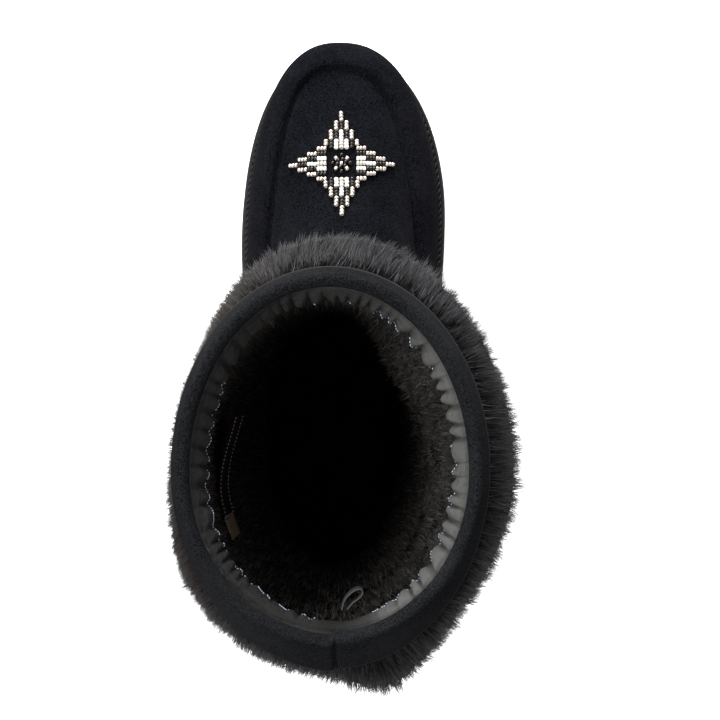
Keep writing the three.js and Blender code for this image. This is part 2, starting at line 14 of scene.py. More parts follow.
import bmesh
import bpy
import numpy as np
from bpy.types import Material, Node, NodeSocket, NodeTree, Object
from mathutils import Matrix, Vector

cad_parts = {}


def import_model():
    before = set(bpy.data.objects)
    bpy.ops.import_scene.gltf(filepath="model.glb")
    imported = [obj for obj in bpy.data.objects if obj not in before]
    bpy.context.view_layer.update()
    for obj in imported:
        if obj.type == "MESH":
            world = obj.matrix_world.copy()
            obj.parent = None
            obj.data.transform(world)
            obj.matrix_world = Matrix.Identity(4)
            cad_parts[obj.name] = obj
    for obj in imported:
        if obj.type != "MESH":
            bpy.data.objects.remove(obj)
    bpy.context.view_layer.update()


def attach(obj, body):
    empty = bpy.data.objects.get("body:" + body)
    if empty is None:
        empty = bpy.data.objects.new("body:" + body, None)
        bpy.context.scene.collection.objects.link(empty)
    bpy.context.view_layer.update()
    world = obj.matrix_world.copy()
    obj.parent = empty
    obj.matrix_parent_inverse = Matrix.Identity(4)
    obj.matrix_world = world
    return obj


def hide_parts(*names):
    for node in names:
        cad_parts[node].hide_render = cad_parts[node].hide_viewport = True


Array = np.ndarray

LOG = logging.getLogger("mukluk")
MM = 0.001
TAU = 2.0 * math.pi
HALVINGS = 30

# Driving dimensions of the boot
SOLE_LENGTH = 268.0
BALL_WIDTH = 94.5
HEEL_SEAT = 42.0
INSTEP_HEIGHT = 92.0
BOOT_HEIGHT = 267.0
SHAFT_LENGTH = 134.0
SHAFT_WIDTH = 109.0
SHAFT_SETBACK = 5.0
SHAFT_LEAN = -2.2
MEDIAL_LEAD = 11.0
TOE_SPRING = 7.0
SPRING_FROM = 0.72
TOE_LEAN = -1.5
WAIST_AT = 0.4
WAIST_LENGTH = 0.16
WAIST_MEDIAL = 0.05
WAIST_LATERAL = 0.025

# Walls, gaps and small parts
CLEARANCE = 0.3
UPPER_WALL = 2.6
APRON_STEP = 1.9
LUG_DEPTH = 3.5
SOLE_WEB = 5.5
CUP_WALL = 4.0
CUP_HEIGHT = 11.0
EDGE_STEP = 0.9
BAND_THICKNESS = 1.8
BAND_ROLL = 2.4
FACING_THICKNESS = 1.0
BINDING_THICKNESS = 5.4
BINDING_DROP = 5.6
FACE_HEIGHT = 14.0
LINING_IN_FOOT = 1.6
LINING_ON_SHAFT = 2.6
LINING_BULGE = 11.0
LINING_SWELL = 11.0
LINING_LUMPS = 0.9
LINING_FOLDS = 3.0
LOOP_DROP = 12.0
STAR_CENTRE_Y = 160.1

SHAFT_CENTRE = SHAFT_SETBACK - HEEL_SEAT + SHAFT_LENGTH / 2
CUP_FLOOR = LUG_DEPTH + SOLE_WEB
SEAT = CUP_FLOOR + CLEARANCE
CUP_TOP = CUP_FLOOR + CUP_HEIGHT
CUP_OUTSIDE = CLEARANCE + CUP_WALL


def smooth(low: float, high: float, x: Array) -> Array:
    """Rises from 0 at low to 1 at high along a cubic that is flat at both ends.

    Args:
        low: where the rise starts.
        high: where it ends.
        x: the places to work out.

    Returns:
        The height at each place.
    """
    t = np.clip((np.asarray(x, float) - low) / (high - low), 0.0, 1.0)
    return t * t * (3.0 - 2.0 * t)


def bump(x: Array, centre: float, width: float) -> Array:
    """A soft hill of height 1: the bell curve exp(-((x - centre) / width)^2).

    Args:
        x: the places to work out.
        centre: where the top is.
        width: how far off the top the height falls to a third.

    Returns:
        The height at each place.
    """
    return np.exp(-(((x - centre) / width) ** 2))


def unit(vectors: Array) -> Array:
    """Vectors scaled to length 1 along their last axis."""
    length = np.linalg.norm(vectors, axis=-1, keepdims=True)
    return vectors / np.maximum(length, 1e-9)


def wander(x: Array, seed: int, waves: int = 6) -> Array:
    """A smooth uneven curve over one turn: a sum of whole-number sine waves of falling height.

    Args:
        x: angles in radians.
        seed: picks the waves' phases.
        waves: how many waves are summed.

    Returns:
        Values of about -1 to 1 that meet again after a full turn.
    """
    rng = np.random.default_rng(seed)
    total = np.zeros_like(np.asarray(x, float))
    for k in range(1, waves + 1):
        total += np.sin(k * x + rng.uniform(0, TAU)) / math.sqrt(k)
    return total / math.sqrt(waves)


def turns(count: int) -> Array:
    """Angles in equal steps over one full turn, in radians."""
    return np.arange(count) / count * TAU


def wrapped(angle: Array) -> Array:
    """Angles brought to between minus and plus half a turn."""
    return np.angle(np.exp(1j * angle))


def hill(angle: Array, degrees: float, width: float) -> Array:
    """A soft hill over the turn: 1 at that many degrees from the toe, falling off to both sides.

    Args:
        angle: the turns in radians.
        degrees: where the top is.
        width: how far off the top the height falls to a third, in radians.

    Returns:
        The height at each turn.
    """
    return bump(wrapped(angle - math.radians(degrees)), 0.0, width)


def circles(side: Array, up: Array, count: int) -> Array:
    """A circle of radius 1 for each pair of directions: side * cos(turn) + up * sin(turn).

    Args:
        side: one direction each.
        up: another at a right angle to it.
        count: how many points a circle has.

    Returns:
        Points, circle by turn by xyz.
    """
    turn = turns(count)
    return side[:, None] * np.cos(turn)[None, :, None] + up[:, None] * np.sin(turn)[None, :, None]


@dataclass(frozen=True)
class Last:
    """The boot's outer form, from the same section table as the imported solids.

    A foot ring's columns, as shares: its front, widest place and back along the sole; its rise at
    toe and heel; half its width; how full its curve is at toe and heel; and how much of the toe
    spring it takes. A shaft ring's: front and back along the shaft, rise, half its width.
    """

    # front, wide, back, toe rise, heel rise, half width, toe fullness, heel fullness, spring
    foot: tuple[tuple[float, ...], ...] = (
        (0.966, 0.62, 0.028, 0.0, 0.0, 0.49, 2.3, 2.6, 1.0),  # feather edge
        (0.974, 0.62, 0.02, 0.135, 0.135, 0.5, 2.3, 2.6, 1.0),  # rim of the cup
        (0.992, 0.615, 0.012, 0.26, 0.33, 0.508, 2.34, 2.6, 0.8),  # bulge
        (0.984, 0.6, 0.008, 0.4, 0.52, 0.487, 2.4, 2.6, 0.6),  # shoulder
        (0.954, 0.43, 0.008, 0.49, 0.66, 0.44, 2.75, 2.5, 0.35),  # crest of the side band
        (0.93, 0.24, 0.009, 0.515, 0.735, 0.413, 2.8, 2.3, 0.25),  # apron seam
        (0.825, 0.225, 0.011, 0.6, 0.82, 0.42, 2.3, 2.2, 0.1),  # vamp plug
        (0.716, 0.23, 0.013, 0.715, 0.905, 0.43, 2.1, 2.1, 0.0),
        (0.629, 0.245, 0.015, 0.85, 0.975, 0.445, 2.0, 2.0, 0.0),
    )
    # front, back, rise, half width
    shaft: tuple[tuple[float, ...], ...] = (
        (0.61, -0.53, 0.005, 0.4),  # instep
        (0.55, -0.525, 0.13, 0.418),  # ankle
        (0.52, -0.515, 0.33, 0.46),
        (0.507, -0.507, 0.61, 0.485),
        (0.5, -0.5, 0.885, 0.482),  # lower edge of the collar band
        (0.485, -0.42, 1.0, 0.459),  # top edge
    )

    @property
    def apron(self) -> float:
        """The ring of the apron seam."""
        return 5.0

    @property
    def instep(self) -> float:
        """The ring where the shaft starts."""
        return float(len(self.foot))

    @property
    def top(self) -> float:
        """The ring of the top edge."""
        return float(len(self.foot) + len(self.shaft) - 1)

    @property
    def band_edge(self) -> float:
        """The ring of the collar band's lower edge."""
        return self.top - 1.0

    @property
    def fur_start(self) -> float:
        """The ring of the fur's hem."""
        return self.instep - 0.45

    def station(self, share: float | Array) -> float | Array:
        """A place along the sole, as a share of its length, in millimetres."""
        return share * SOLE_LENGTH - HEEL_SEAT

    def table(self) -> Array:
        """Every ring in millimetres, one row each, in the foot table's columns and the medial lead.

        Returns:
            An array of rings by columns: front, wide, back, toe height, heel height, half width,
            toe fullness, heel fullness, spring, medial lead.
        """
        foot = np.array(self.foot)
        rows = np.column_stack([
            self.station(foot[:, :3]),
            SEAT + foot[:, 3:5] * (INSTEP_HEIGHT - SEAT),
            foot[:, 5] * BALL_WIDTH,
            foot[:, 6:],
            np.full(len(foot), MEDIAL_LEAD),
        ])
        front, back, rise, half = np.array(self.shaft).T
        height = INSTEP_HEIGHT + rise * (BOOT_HEIGHT - INSTEP_HEIGHT)
        ellipse = np.full(len(half), 2.0)
        none = np.zeros(len(half))
        upper = np.column_stack([
            SHAFT_CENTRE + front * SHAFT_LENGTH,
            np.full(len(half), SHAFT_CENTRE),
            SHAFT_CENTRE + back * SHAFT_LENGTH,
            height, height, half * SHAFT_WIDTH, ellipse, ellipse, none, none,
        ])
        return np.vstack([rows, upper])

    def ring(self, v: Array) -> list[Array]:
        """The ring's columns at any place v, by a monotone cubic between the table's rows.

        Args:
            v: places, counted in rings from the feather edge.

        Returns:
            One array per column.
        """
        rows = self.table()
        step = np.diff(rows, axis=0)
        slope = np.zeros_like(rows)
        before, after = step[:-1], step[1:]
        same = before * after > 0
        total = np.where(same, before + after, 1.0)
        slope[1:-1] = np.where(same, 2 * before * after / total, 0.0)
        slope[0], slope[-1] = step[0], step[-1]
        v = np.asarray(v, float)
        i = np.clip(np.floor(v).astype(int), 0, len(rows) - 2)
        t = (v - i)[..., None]
        ease = t * t * (3 - 2 * t)
        value = (
            rows[i]
            + (rows[i + 1] - rows[i]) * ease
            + t * (1 - t) ** 2 * slope[i]
            - t * t * (1 - t) * slope[i + 1]
        )
        return [value[..., k] for k in range(rows.shape[1])]

    def along_toe(self, y: Array) -> Array:
        """How far y lies on the way from the start of the toe spring (0) to the sole's tip (1)."""
        start, tip = self.station(SPRING_FROM), self.station(1.0)
        return np.clip((y - start) / (tip - start), 0.0, 1.0)

    def spring(self, y: Array) -> Array:
        """The sole's rise at y: the toe spring times the square of the way to the tip."""
        return TOE_SPRING * self.along_toe(y) ** 2

    def point(self, v: Array, angle: Array) -> Array:
        """A point of the outer surface: a superellipse ring, fuller or flatter at toe and heel.

        Across, x is half the width times |sin|^(2 / fullness); along, y is the ring's reach from its
        widest place times |cos|^(2 / fullness); the height slopes from heel to toe. The sole's waist
        narrows the lower rings.

        Args:
            v: the ring, counted from the feather edge.
            angle: the turn from the toe over the medial side, in radians.

        Returns:
            Points in millimetres, with x, y, z on the last axis.
        """
        v, angle = np.broadcast_arrays(np.asarray(v, float), np.asarray(angle, float))
        front, wide, back, toe_z, heel_z, half, toe_full, heel_full, spring, lead = self.ring(v)
        sine, cosine = np.sin(angle), np.cos(angle)
        medial = np.where(sine >= 0, 1.0, -1.0)
        wide = wide + medial * lead
        full = np.where(cosine >= 0, toe_full, heel_full)
        reach = np.where(cosine >= 0, front - wide, wide - back)
        y = wide + reach * np.sign(cosine) * np.abs(cosine) ** (2 / full)
        along = (y - back) / (front - back)
        depth = np.where(medial > 0, WAIST_MEDIAL, WAIST_LATERAL) * BALL_WIDTH * lead / MEDIAL_LEAD
        depth = depth * np.where(v < 1, 1.0, 1 - smooth(1.0, self.apron, v))
        waist = depth * bump(y, self.station(WAIST_AT), WAIST_LENGTH * SOLE_LENGTH)
        x = half * np.sign(sine) * np.abs(sine) ** (2 / full) - medial * waist * np.abs(sine)
        x = x + TOE_LEAN * self.along_toe(y) + SHAFT_LEAN * smooth(self.instep, self.top, v)
        z = heel_z + (toe_z - heel_z) * along + spring * self.spring(y)
        return np.stack([x, y, z], axis=-1)

    def frame(self, v: Array, angle: Array) -> tuple[Array, Array, Array]:
        """The surface's outward normal, its way up and its way round, as unit vectors.

        Args:
            v: the ring.
            angle: the turn.

        Returns:
            Normal, up and round, each like the points.
        """
        dv, da = 0.02, 0.01
        up = self.point(np.minimum(v + dv, self.top), angle)
        up = up - self.point(np.maximum(v - dv, 0.0), angle)
        around = self.point(v, angle + da) - self.point(v, angle - da)
        normal = unit(np.cross(up, around))
        return normal, unit(up), unit(around)

    def skin(self, v: Array, angle: Array, offset: Array | float = 0.0) -> Array:
        """The outer surface moved along its normal by offset."""
        normal = self.frame(v, angle)[0]
        return self.point(v, angle) + normal * np.asarray(offset, float)[..., None]

    def apron_dip(self, v: Array, y: Array) -> Array:
        """How far the vamp plug lies below the side band: a step at the seam that eases out inside.

        Args:
            v: the rings.
            y: the places along the boot, since the step fades out towards the heel.

        Returns:
            The depth of the step at each place.
        """
        step = smooth(self.apron - 0.45, self.apron - 0.05, v)
        step = step * (1 - smooth(self.apron + 0.1, self.apron + 2.5, v))
        return APRON_STEP * step * smooth(self.station(0.36), self.station(0.5), y)

    def vamp(self, x: Array, y: Array) -> Array:
        """The vamp over points in plan, found by halving between rings.

        Args:
            x: places across.
            y: places along.

        Returns:
            Points on the vamp.
        """
        low = np.full(x.shape, self.apron - 2.0)
        high = np.full(x.shape, self.instep)
        lean = TOE_LEAN * self.along_toe(y)
        for _ in range(HALVINGS):
            v = (low + high) / 2
            front, wide, _, _, _, half, toe_full, _, _, lead = self.ring(v)
            wide = wide + np.where(x >= lean, 1.0, -1.0) * lead
            share = np.abs(x - lean) / half
            reach = np.abs(y - wide) / (front - wide)
            inside = share**toe_full + reach**toe_full < 1
            low, high = np.where(inside, v, low), np.where(inside, high, v)
        v = low
        front, _, back, toe_z, heel_z, _, _, _, spring, _ = self.ring(v)
        z = heel_z + (toe_z - heel_z) * (y - back) / (front - back) + spring * self.spring(y)
        return np.stack([x, y, z - self.apron_dip(v, y)], axis=-1)

    def rim_loop(self, angle: Array, offset: Array, height: Array) -> Array:
        """A loop round the boot in plan: the rim ring moved out level, at a height that follows the
        toe spring.

        Args:
            angle: the turns.
            offset: how far out, for each point.
            height: the height over the floor before the spring.

        Returns:
            Points in millimetres.
        """
        rim, da = np.ones_like(angle), 0.01
        p = self.point(rim, angle)
        along = self.point(rim, angle + da) - self.point(rim, angle - da)
        out = unit(np.stack([-along[..., 1], along[..., 0], np.zeros_like(angle)], axis=-1))
        facing = np.sum(out * (p - [0.0, self.station(0.5), 0.0]), axis=-1)
        out = out * np.sign(facing)[..., None]
        p = p + out * np.asarray(offset, float)[..., None]
        p[..., 2] = height + self.spring(p[..., 1])
        return p

    def shrunk(self, loop: Array, share: float, height: float) -> Array:
        """A loop shrunk towards the middle of the sole, on a surface that follows the spring."""
        y = self.station(0.5) + (loop[:, 1] - self.station(0.5)) * share
        return np.stack([loop[:, 0] * share, y, height + self.spring(y)], axis=-1)


LAST = Last()


# Mesh making


def new_piece(
    name: str, points: Array, faces: Array | list, material: Material | list[Material]
) -> Object:
    """Makes a mesh object at the origin from points in millimetres.

    Args:
        name: the piece's name.
        points: an n by 3 array, in millimetres.
        faces: an array of corner indices, or a list of such arrays with 3 or 4 corners each.
        material: the finish, or several.

    Returns:
        The object, linked to the scene.
    """
    blocks = faces if isinstance(faces, list) else [faces]
    blocks = [np.asarray(b, np.int64) for b in blocks if len(b)]
    mesh = bpy.data.meshes.new(name)
    mesh.vertices.add(len(points))
    mesh.vertices.foreach_set("co", (np.asarray(points, float) * MM).astype(np.float32).ravel())
    sizes = np.concatenate([np.full(len(b), b.shape[1]) for b in blocks])
    loops = np.concatenate([b.ravel() for b in blocks])
    mesh.loops.add(len(loops))
    mesh.loops.foreach_set("vertex_index", loops.astype(np.int32))
    mesh.polygons.add(len(sizes))
    starts = np.concatenate([[0], np.cumsum(sizes)[:-1]])
    mesh.polygons.foreach_set("loop_start", starts.astype(np.int32))
    mesh.polygons.foreach_set("use_smooth", np.ones(len(sizes), bool))
    mesh.update(calc_edges=True)
    mesh.validate()
    for m in material if isinstance(material, list) else [material]:
        mesh.materials.append(m)
    piece = bpy.data.objects.new(name, mesh)
    bpy.context.scene.collection.objects.link(piece)
    return piece


def grid_faces(rows: int, columns: int, wrap_rows: bool, wrap_columns: bool) -> Array:
    """Quads of a grid whose points are counted row by row.

    Args:
        rows: how many rows of points.
        columns: how many points in a row.
        wrap_rows: whether the last row joins the first.
        wrap_columns: whether each row is a closed loop.

    Returns:
        An array of quads.
    """
    i = np.arange(rows if wrap_rows else rows - 1)[:, None]
    j = np.arange(columns if wrap_columns else columns - 1)[None, :]
    a = i * columns + j
    b = i * columns + (j + 1) % columns
    c = ((i + 1) % rows) * columns + (j + 1) % columns
    d = ((i + 1) % rows) * columns + j
    return np.stack(np.broadcast_arrays(a, b, c, d), axis=-1).reshape(-1, 4)


def outward(points: Array, faces: Array) -> Array:
    """The quads of a closed surface, turned so that they face out: its signed volume is positive.

    Args:
        points: the surface's points.
        faces: its quads, all turned the same way.

    Returns:
        The quads, turned over where they faced in.
    """
    p = points[faces]
    volume = np.sum(p[:, 0] * np.cross(p[:, 1], p[:, 2]))
    volume += np.sum(p[:, 0] * np.cross(p[:, 2], p[:, 3]))
    return faces if volume > 0 else faces[:, ::-1]


def sleeve(name: str, loops: Array, material: Material) -> Object:
    """A closed piece from a stack of closed loops, the last of which joins the first.

    Args:
        name: the piece's name.
        loops: points, loop by place by xyz.
        material: the finish.

    Returns:
        The piece, facing out.
    """
    points = loops.reshape(-1, 3)
    faces = grid_faces(loops.shape[0], loops.shape[1], True, True)
    return new_piece(name, points, outward(points, faces), material)


def capped(name: str, loops: Array, material: Material) -> Object:
    """A closed piece from a stack of closed loops, with one face over each end.

    Args:
        name: the piece's name.
        loops: points, loop by place by xyz.
        material: the finish.

    Returns:
        The piece, facing out.
    """
    points = loops.reshape(-1, 3)
    rows, columns = loops.shape[:2]
    faces = grid_faces(rows, columns, False, True)
    piece = new_piece(name, points, outward(points, faces), material)
    work = bmesh.new()
    work.from_mesh(piece.data)
    work.verts.ensure_lookup_table()
    for start in (0, (rows - 1) * columns):
        work.faces.new([work.verts[start + j] for j in range(columns)])
    bmesh.ops.recalc_face_normals(work, faces=work.faces)
    work.to_mesh(piece.data)
    work.free()
    return piece


def float_attribute(piece: Object, name: str, values: Array) -> None:
    """Stores one number per vertex under a name that a material can read."""
    attribute = piece.data.attributes.new(name, "FLOAT", "POINT")
    attribute.data.foreach_set("value", np.asarray(values, np.float32).ravel())


def uv_map(piece: Object, u: Array, v: Array) -> None:
    """Stores a UV map, in millimetres along the piece.

    Args:
        piece: the piece.
        u: one number per vertex, the map's way across.
        v: one number per vertex, its way up.
    """
    corners = np.zeros(len(piece.data.loops), np.int32)
    piece.data.loops.foreach_get("vertex_index", corners)
    layer = piece.data.uv_layers.new(name="UVMap")
    both = np.stack([u.ravel()[corners], v.ravel()[corners]], axis=-1)
    layer.data.foreach_set("uv", both.astype(np.float32).ravel())


def place(piece: Object, slot: str, *nodes: str) -> Object:
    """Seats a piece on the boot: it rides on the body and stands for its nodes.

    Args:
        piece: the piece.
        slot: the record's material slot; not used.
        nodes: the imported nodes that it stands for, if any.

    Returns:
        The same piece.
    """
    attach(piece, "root")
    if nodes:
        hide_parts(*nodes)
    faces, corners = len(piece.data.polygons), len(piece.data.loops)
    LOG.info("%s: %d faces, %d triangles", piece.name, faces, corners - 2 * faces)
    return piece


# Shader groups


def group_tree(name: str, inputs: dict[str, float], outputs: dict[str, str]) -> NodeTree:
    """An empty shader group with named number inputs and named outputs.

    Args:
        name: the group's name.
        inputs: each number input and its usual value.
        outputs: each output and its kind, Color or Float.

    Returns:
        The group's tree.
    """
    tree = bpy.data.node_groups.new(name, "ShaderNodeTree")
    for label, value in inputs.items():
        socket = tree.interface.new_socket(name=label, in_out="INPUT", socket_type="NodeSocketFloat")
        socket.default_value = value
    for label, kind in outputs.items():
        tree.interface.new_socket(name=label, in_out="OUTPUT", socket_type=f"NodeSocket{kind}")
    return tree


class Nodes:
    """Adds and joins the nodes of one tree."""

    def __init__(self, tree: NodeTree) -> None:
        """Keeps the tree."""
        self.tree = tree

    def add(self, kind: str, **values: object) -> Node:
        """Adds a node of that kind and sets its attributes.

        Args:
            kind: the node's class, without its prefix ShaderNode where it has that.
            values: attributes of the node.

        Returns:
            The node.
        """
        full = kind if kind.startswith("Node") else "ShaderNode" + kind
        node = self.tree.nodes.new(full)
        for key, value in values.items():
            setattr(node, key, value)
        return node

    def join(self, source: object, target: object) -> None:
        """Joins an output to an input, or sets the input where the source is a number or colour.

        Args:
            source: an output's socket, a number or a colour.
            target: the input's socket.
        """
        if isinstance(source, NodeSocket):
            self.tree.links.new(source, target)
        else:
            target.default_value = source

    def math(self, operation: str, a: object, b: object = 0.0) -> NodeSocket:
        """One operation on two numbers or sockets.

        Args:
            operation: its name in Blender.
            a: the first number or socket.
            b: the second.

        Returns:
            The result's socket.
        """
        node = self.add("Math", operation=operation)
        self.join(a, node.inputs[0])
        self.join(b, node.inputs[1])
        return node.outputs[0]

    def span(
        self, value: object, low: float, high: float, to_low: float, to_high: float
    ) -> NodeSocket:
        """A number carried from one range to another and held within it.

        Args:
            value: the number or socket.
            low: where the first range starts.
            high: where it ends.
            to_low: where the second range starts.
            to_high: where it ends.

        Returns:
            The result's socket.
        """
        node = self.add("MapRange", clamp=True)
        self.join(value, node.inputs["Value"])
        ends = {"From Min": low, "From Max": high, "To Min": to_low, "To Max": to_high}
        for label, end in ends.items():
            node.inputs[label].default_value = end
        return node.outputs["Result"]

    def mix(self, share: object, a: object, b: object) -> NodeSocket:
        """Two colours mixed: a where share is 0, b where it is 1.

        Args:
            share: a number or socket.
            a: the first colour or socket.
            b: the second.

        Returns:
            The result's socket.
        """
        node = self.add("Mix", data_type="RGBA")
        self.join(share, node.inputs["Factor"])
        self.join(a, node.inputs["A"])
        self.join(b, node.inputs["B"])
        return node.outputs["Result"]

    def noise(self, vector: object, scale: object, detail: float, rough: float = 0.5) -> NodeSocket:
        """A cloud pattern of about that many cells a metre.

        Args:
            vector: the coordinates' socket.
            scale: the cells a metre, a number or a socket.
            detail: how many finer clouds are added.
            rough: how strong the finer ones are.

        Returns:
            The pattern's socket, from 0 to 1.
        """
        node = self.add("TexNoise")
        self.join(vector, node.inputs["Vector"])
        self.join(scale, node.inputs["Scale"])
        node.inputs["Detail"].default_value = detail
        node.inputs["Roughness"].default_value = rough
        return node.outputs["Fac"]

    def stored(self, name: str) -> NodeSocket:
        """A number that the mesh stores under that name."""
        return self.add("Attribute", attribute_name=name).outputs["Fac"]


def nap_group() -> NodeTree:
    """Suede nap: fine fibres, brushed patches and specks, as a shade, a roughness and a height."""
    tree = group_tree(
        "suede_nap",
        {"Fibre": 2600.0, "Patch": 45.0, "Contrast": 0.5},
        {"Shade": "Float", "Rough": "Float", "Height": "Float"},
    )
    n = Nodes(tree)
    given = n.add("NodeGroupInput")
    out = n.add("NodeGroupOutput")
    place_at = n.add("TexCoord").outputs["Object"]
    fibre = n.noise(place_at, given.outputs["Fibre"], 4.0, 0.7)
    patch = n.noise(place_at, given.outputs["Patch"], 5.0, 0.6)
    speck = n.add("TexVoronoi", feature="F1")
    n.join(place_at, speck.inputs["Vector"])
    n.join(given.outputs["Fibre"], speck.inputs["Scale"])
    brushed = n.math("MULTIPLY", n.span(patch, 0.35, 0.65, -0.5, 0.5), 0.15)
    both = n.math("ADD", brushed, n.span(fibre, 0.3, 0.7, -0.5, 0.5))
    shade = n.math("ADD", n.math("MULTIPLY", both, given.outputs["Contrast"]), 0.5)
    pits = n.math("MULTIPLY", speck.outputs["Distance"], -0.4)
    n.join(shade, out.inputs["Shade"])
    n.join(n.span(patch, 0.3, 0.7, 0.85, 1.0), out.inputs["Rough"])
    n.join(n.math("ADD", fibre, pits), out.inputs["Height"])
    return tree


def weave_group() -> NodeTree:
    """Cloth weave on the piece's own UV map: crossed threads as a height and a shade."""
    values = {"Warp": 2.4, "Weft": 1.6}
    tree = group_tree("thread_weave", values, {"Shade": "Float", "Height": "Float"})
    n = Nodes(tree)
    given = n.add("NodeGroupInput")
    out = n.add("NodeGroupOutput")
    parts = n.add("SeparateXYZ")
    n.join(n.add("TexCoord").outputs["UV"], parts.inputs[0])
    waves = []
    for way, label in enumerate(("Warp", "Weft")):
        turn = n.math("MULTIPLY", n.math("MULTIPLY", parts.outputs[way], TAU), given.outputs[label])
        waves.append(n.math("SINE", turn))
    warp, weft = waves
    crossed = n.math("MULTIPLY", warp, weft)
    lifted = n.math("ADD", n.math("ABSOLUTE", warp), n.math("MULTIPLY", crossed, 0.5))
    n.join(n.span(lifted, -0.5, 1.5, 0.0, 1.0), out.inputs["Height"])
    n.join(n.span(crossed, -1.0, 1.0, 0.35, 0.65), out.inputs["Shade"])
    return tree


@dataclass(frozen=True)
class Finish:
    """One surface finish: its two tones and how it takes light."""

    name: str
    dark: tuple[float, float, float]
    light: tuple[float, float, float]
    rough: float = 0.8
    specular: float = 0.3
    sheen: float = 0.0
    sheen_rough: float = 0.5
    metallic: float = 0.0
    coat: float = 0.0
    bump: float = 0.0
    bump_depth: float = 0.0003

    def start(self) -> tuple[Material, Nodes, Node]:
        """A material with this finish's steady values set on its shader.

        Returns:
            The material, its nodes and the shader node.
        """
        material = bpy.data.materials.new(self.name)
        material.use_nodes = True
        n = Nodes(material.node_tree)
        shader = material.node_tree.nodes["Principled BSDF"]
        steady = {
            "Base Color": (*self.dark, 1.0), "Roughness": self.rough, "Metallic": self.metallic,
            "Specular IOR Level": self.specular, "Coat Weight": self.coat,
            "Sheen Weight": self.sheen, "Sheen Roughness": self.sheen_rough,
        }
        for label, value in steady.items():
            shader.inputs[label].default_value = value
        material.diffuse_color = (*self.light, 1.0)
        return material, n, shader

    def colours(self) -> tuple[tuple[float, ...], tuple[float, ...]]:
        """The two tones with full alpha."""
        return (*self.dark, 1.0), (*self.light, 1.0)

    def raise_bump(self, n: Nodes, shader: Node, height: NodeSocket) -> None:
        """Feeds a height to the shader's normal.

        Args:
            n: the material's nodes.
            shader: its shader.
            height: the height's socket, from 0 to 1.
        """
        bump_node = n.add("Bump")
        bump_node.inputs["Strength"].default_value = self.bump
        bump_node.inputs["Distance"].default_value = self.bump_depth
        n.join(height, bump_node.inputs["Height"])
        n.join(bump_node.outputs["Normal"], shader.inputs["Normal"])


@dataclass(frozen=True)
class Napped(Finish):
    """Suede: nap in two tones, with its own tone on a raw edge."""

    fibre: float = 2600.0
    patch: float = 45.0
    contrast: float = 0.5
    raw: tuple[float, float, float] = (0.2, 0.19, 0.17)

    def make(self, nap: NodeTree) -> Material:
        """Builds the material from the nap group and the piece's raw_edge numbers.

        Args:
            nap: the nap group.

        Returns:
            The material.
        """
        material, n, shader = self.start()
        group = n.add("Group", node_tree=nap)
        for label, value in (("Fibre", self.fibre), ("Patch", self.patch), ("Contrast", self.contrast)):
            group.inputs[label].default_value = value
        dark, light = self.colours()
        colour = n.mix(group.outputs["Shade"], dark, light)
        colour = n.mix(n.stored("raw_edge"), colour, (*self.raw, 1.0))
        n.join(colour, shader.inputs["Base Color"])
        n.join(group.outputs["Rough"], shader.inputs["Roughness"])
        self.raise_bump(n, shader, group.outputs["Height"])
        return material


@dataclass(frozen=True)
class Hairy(Finish):
    """Fur or plush: each hair's tone, its own shade scaled by painted light and shade, paler or browner
    towards its tip.
    """

    tip: tuple[float, float, float] = (0.1, 0.1, 0.11)
    brown: tuple[float, float, float] = (0.06, 0.045, 0.035)

    def make(self) -> Material:
        """Builds the material from the hairs' tone, length_share and warmth numbers.

        Returns:
            The material.
        """
        material, n, shader = self.start()
        dark, light = self.colours()
        tone = n.stored("tone")
        tip = n.mix(tone, dark, (*self.tip, 1.0))
        colour = n.mix(n.stored("length_share"), n.mix(tone, dark, light), tip)
        colour = n.mix(n.stored("warmth"), colour, (*self.brown, 1.0))
        n.join(colour, shader.inputs["Base Color"])
        return material


@dataclass(frozen=True)
class Woven(Finish):
    """Woven cloth on the piece's own UV map, with finer creases and, if asked, a stored painted shade
    that darkens it.
    """

    warp: float = 2.4
    weft: float = 1.6
    painted_shade: bool = False
    creases: float = 0.0
    crease_cells: float = 330.0

    def make(self, weave: NodeTree) -> Material:
        """Builds the material from the weave group.

        Args:
            weave: the weave group.

        Returns:
            The material.
        """
        material, n, shader = self.start()
        group = n.add("Group", node_tree=weave)
        for label, value in (("Warp", self.warp), ("Weft", self.weft)):
            group.inputs[label].default_value = value
        dark, light = self.colours()
        colour = n.mix(group.outputs["Shade"], dark, light)
        # painted shade: the stored tone darkens the cloth towards black
        if self.painted_shade:
            colour = n.mix(n.stored("tone"), (0.0, 0.0, 0.0, 1.0), colour)
        n.join(colour, shader.inputs["Base Color"])
        height = group.outputs["Height"]
        if self.creases:
            wrinkle = n.noise(n.add("TexCoord").outputs["Object"], self.crease_cells, 3.0)
            height = n.math("ADD", height, n.math("MULTIPLY", wrinkle, self.creases))
        self.raise_bump(n, shader, height)
        return material


@dataclass(frozen=True)
class Mottled(Finish):
    """Rubber, thread, glass: two tones in a cloud, with a fine grain, both in cells a metre."""

    cloud: float = 60.0
    grain: float = 1800.0
    rough_swing: float = 0.08

    def make(self) -> Material:
        """Builds the material from a cloud and a grain on the boot's own coordinates.

        Returns:
            The material.
        """
        material, n, shader = self.start()
        place_at = n.add("TexCoord").outputs["Object"]
        cloud = n.noise(place_at, self.cloud, 4.0, 0.6)
        dark, light = self.colours()
        n.join(n.mix(n.span(cloud, 0.35, 0.65, 0.0, 1.0), dark, light), shader.inputs["Base Color"])
        low, high = max(self.rough - self.rough_swing, 0.0), min(self.rough + self.rough_swing, 1.0)
        n.join(n.span(cloud, 0.3, 0.7, low, high), shader.inputs["Roughness"])
        self.raise_bump(n, shader, n.noise(place_at, self.grain, 3.0, 0.6))
        return material


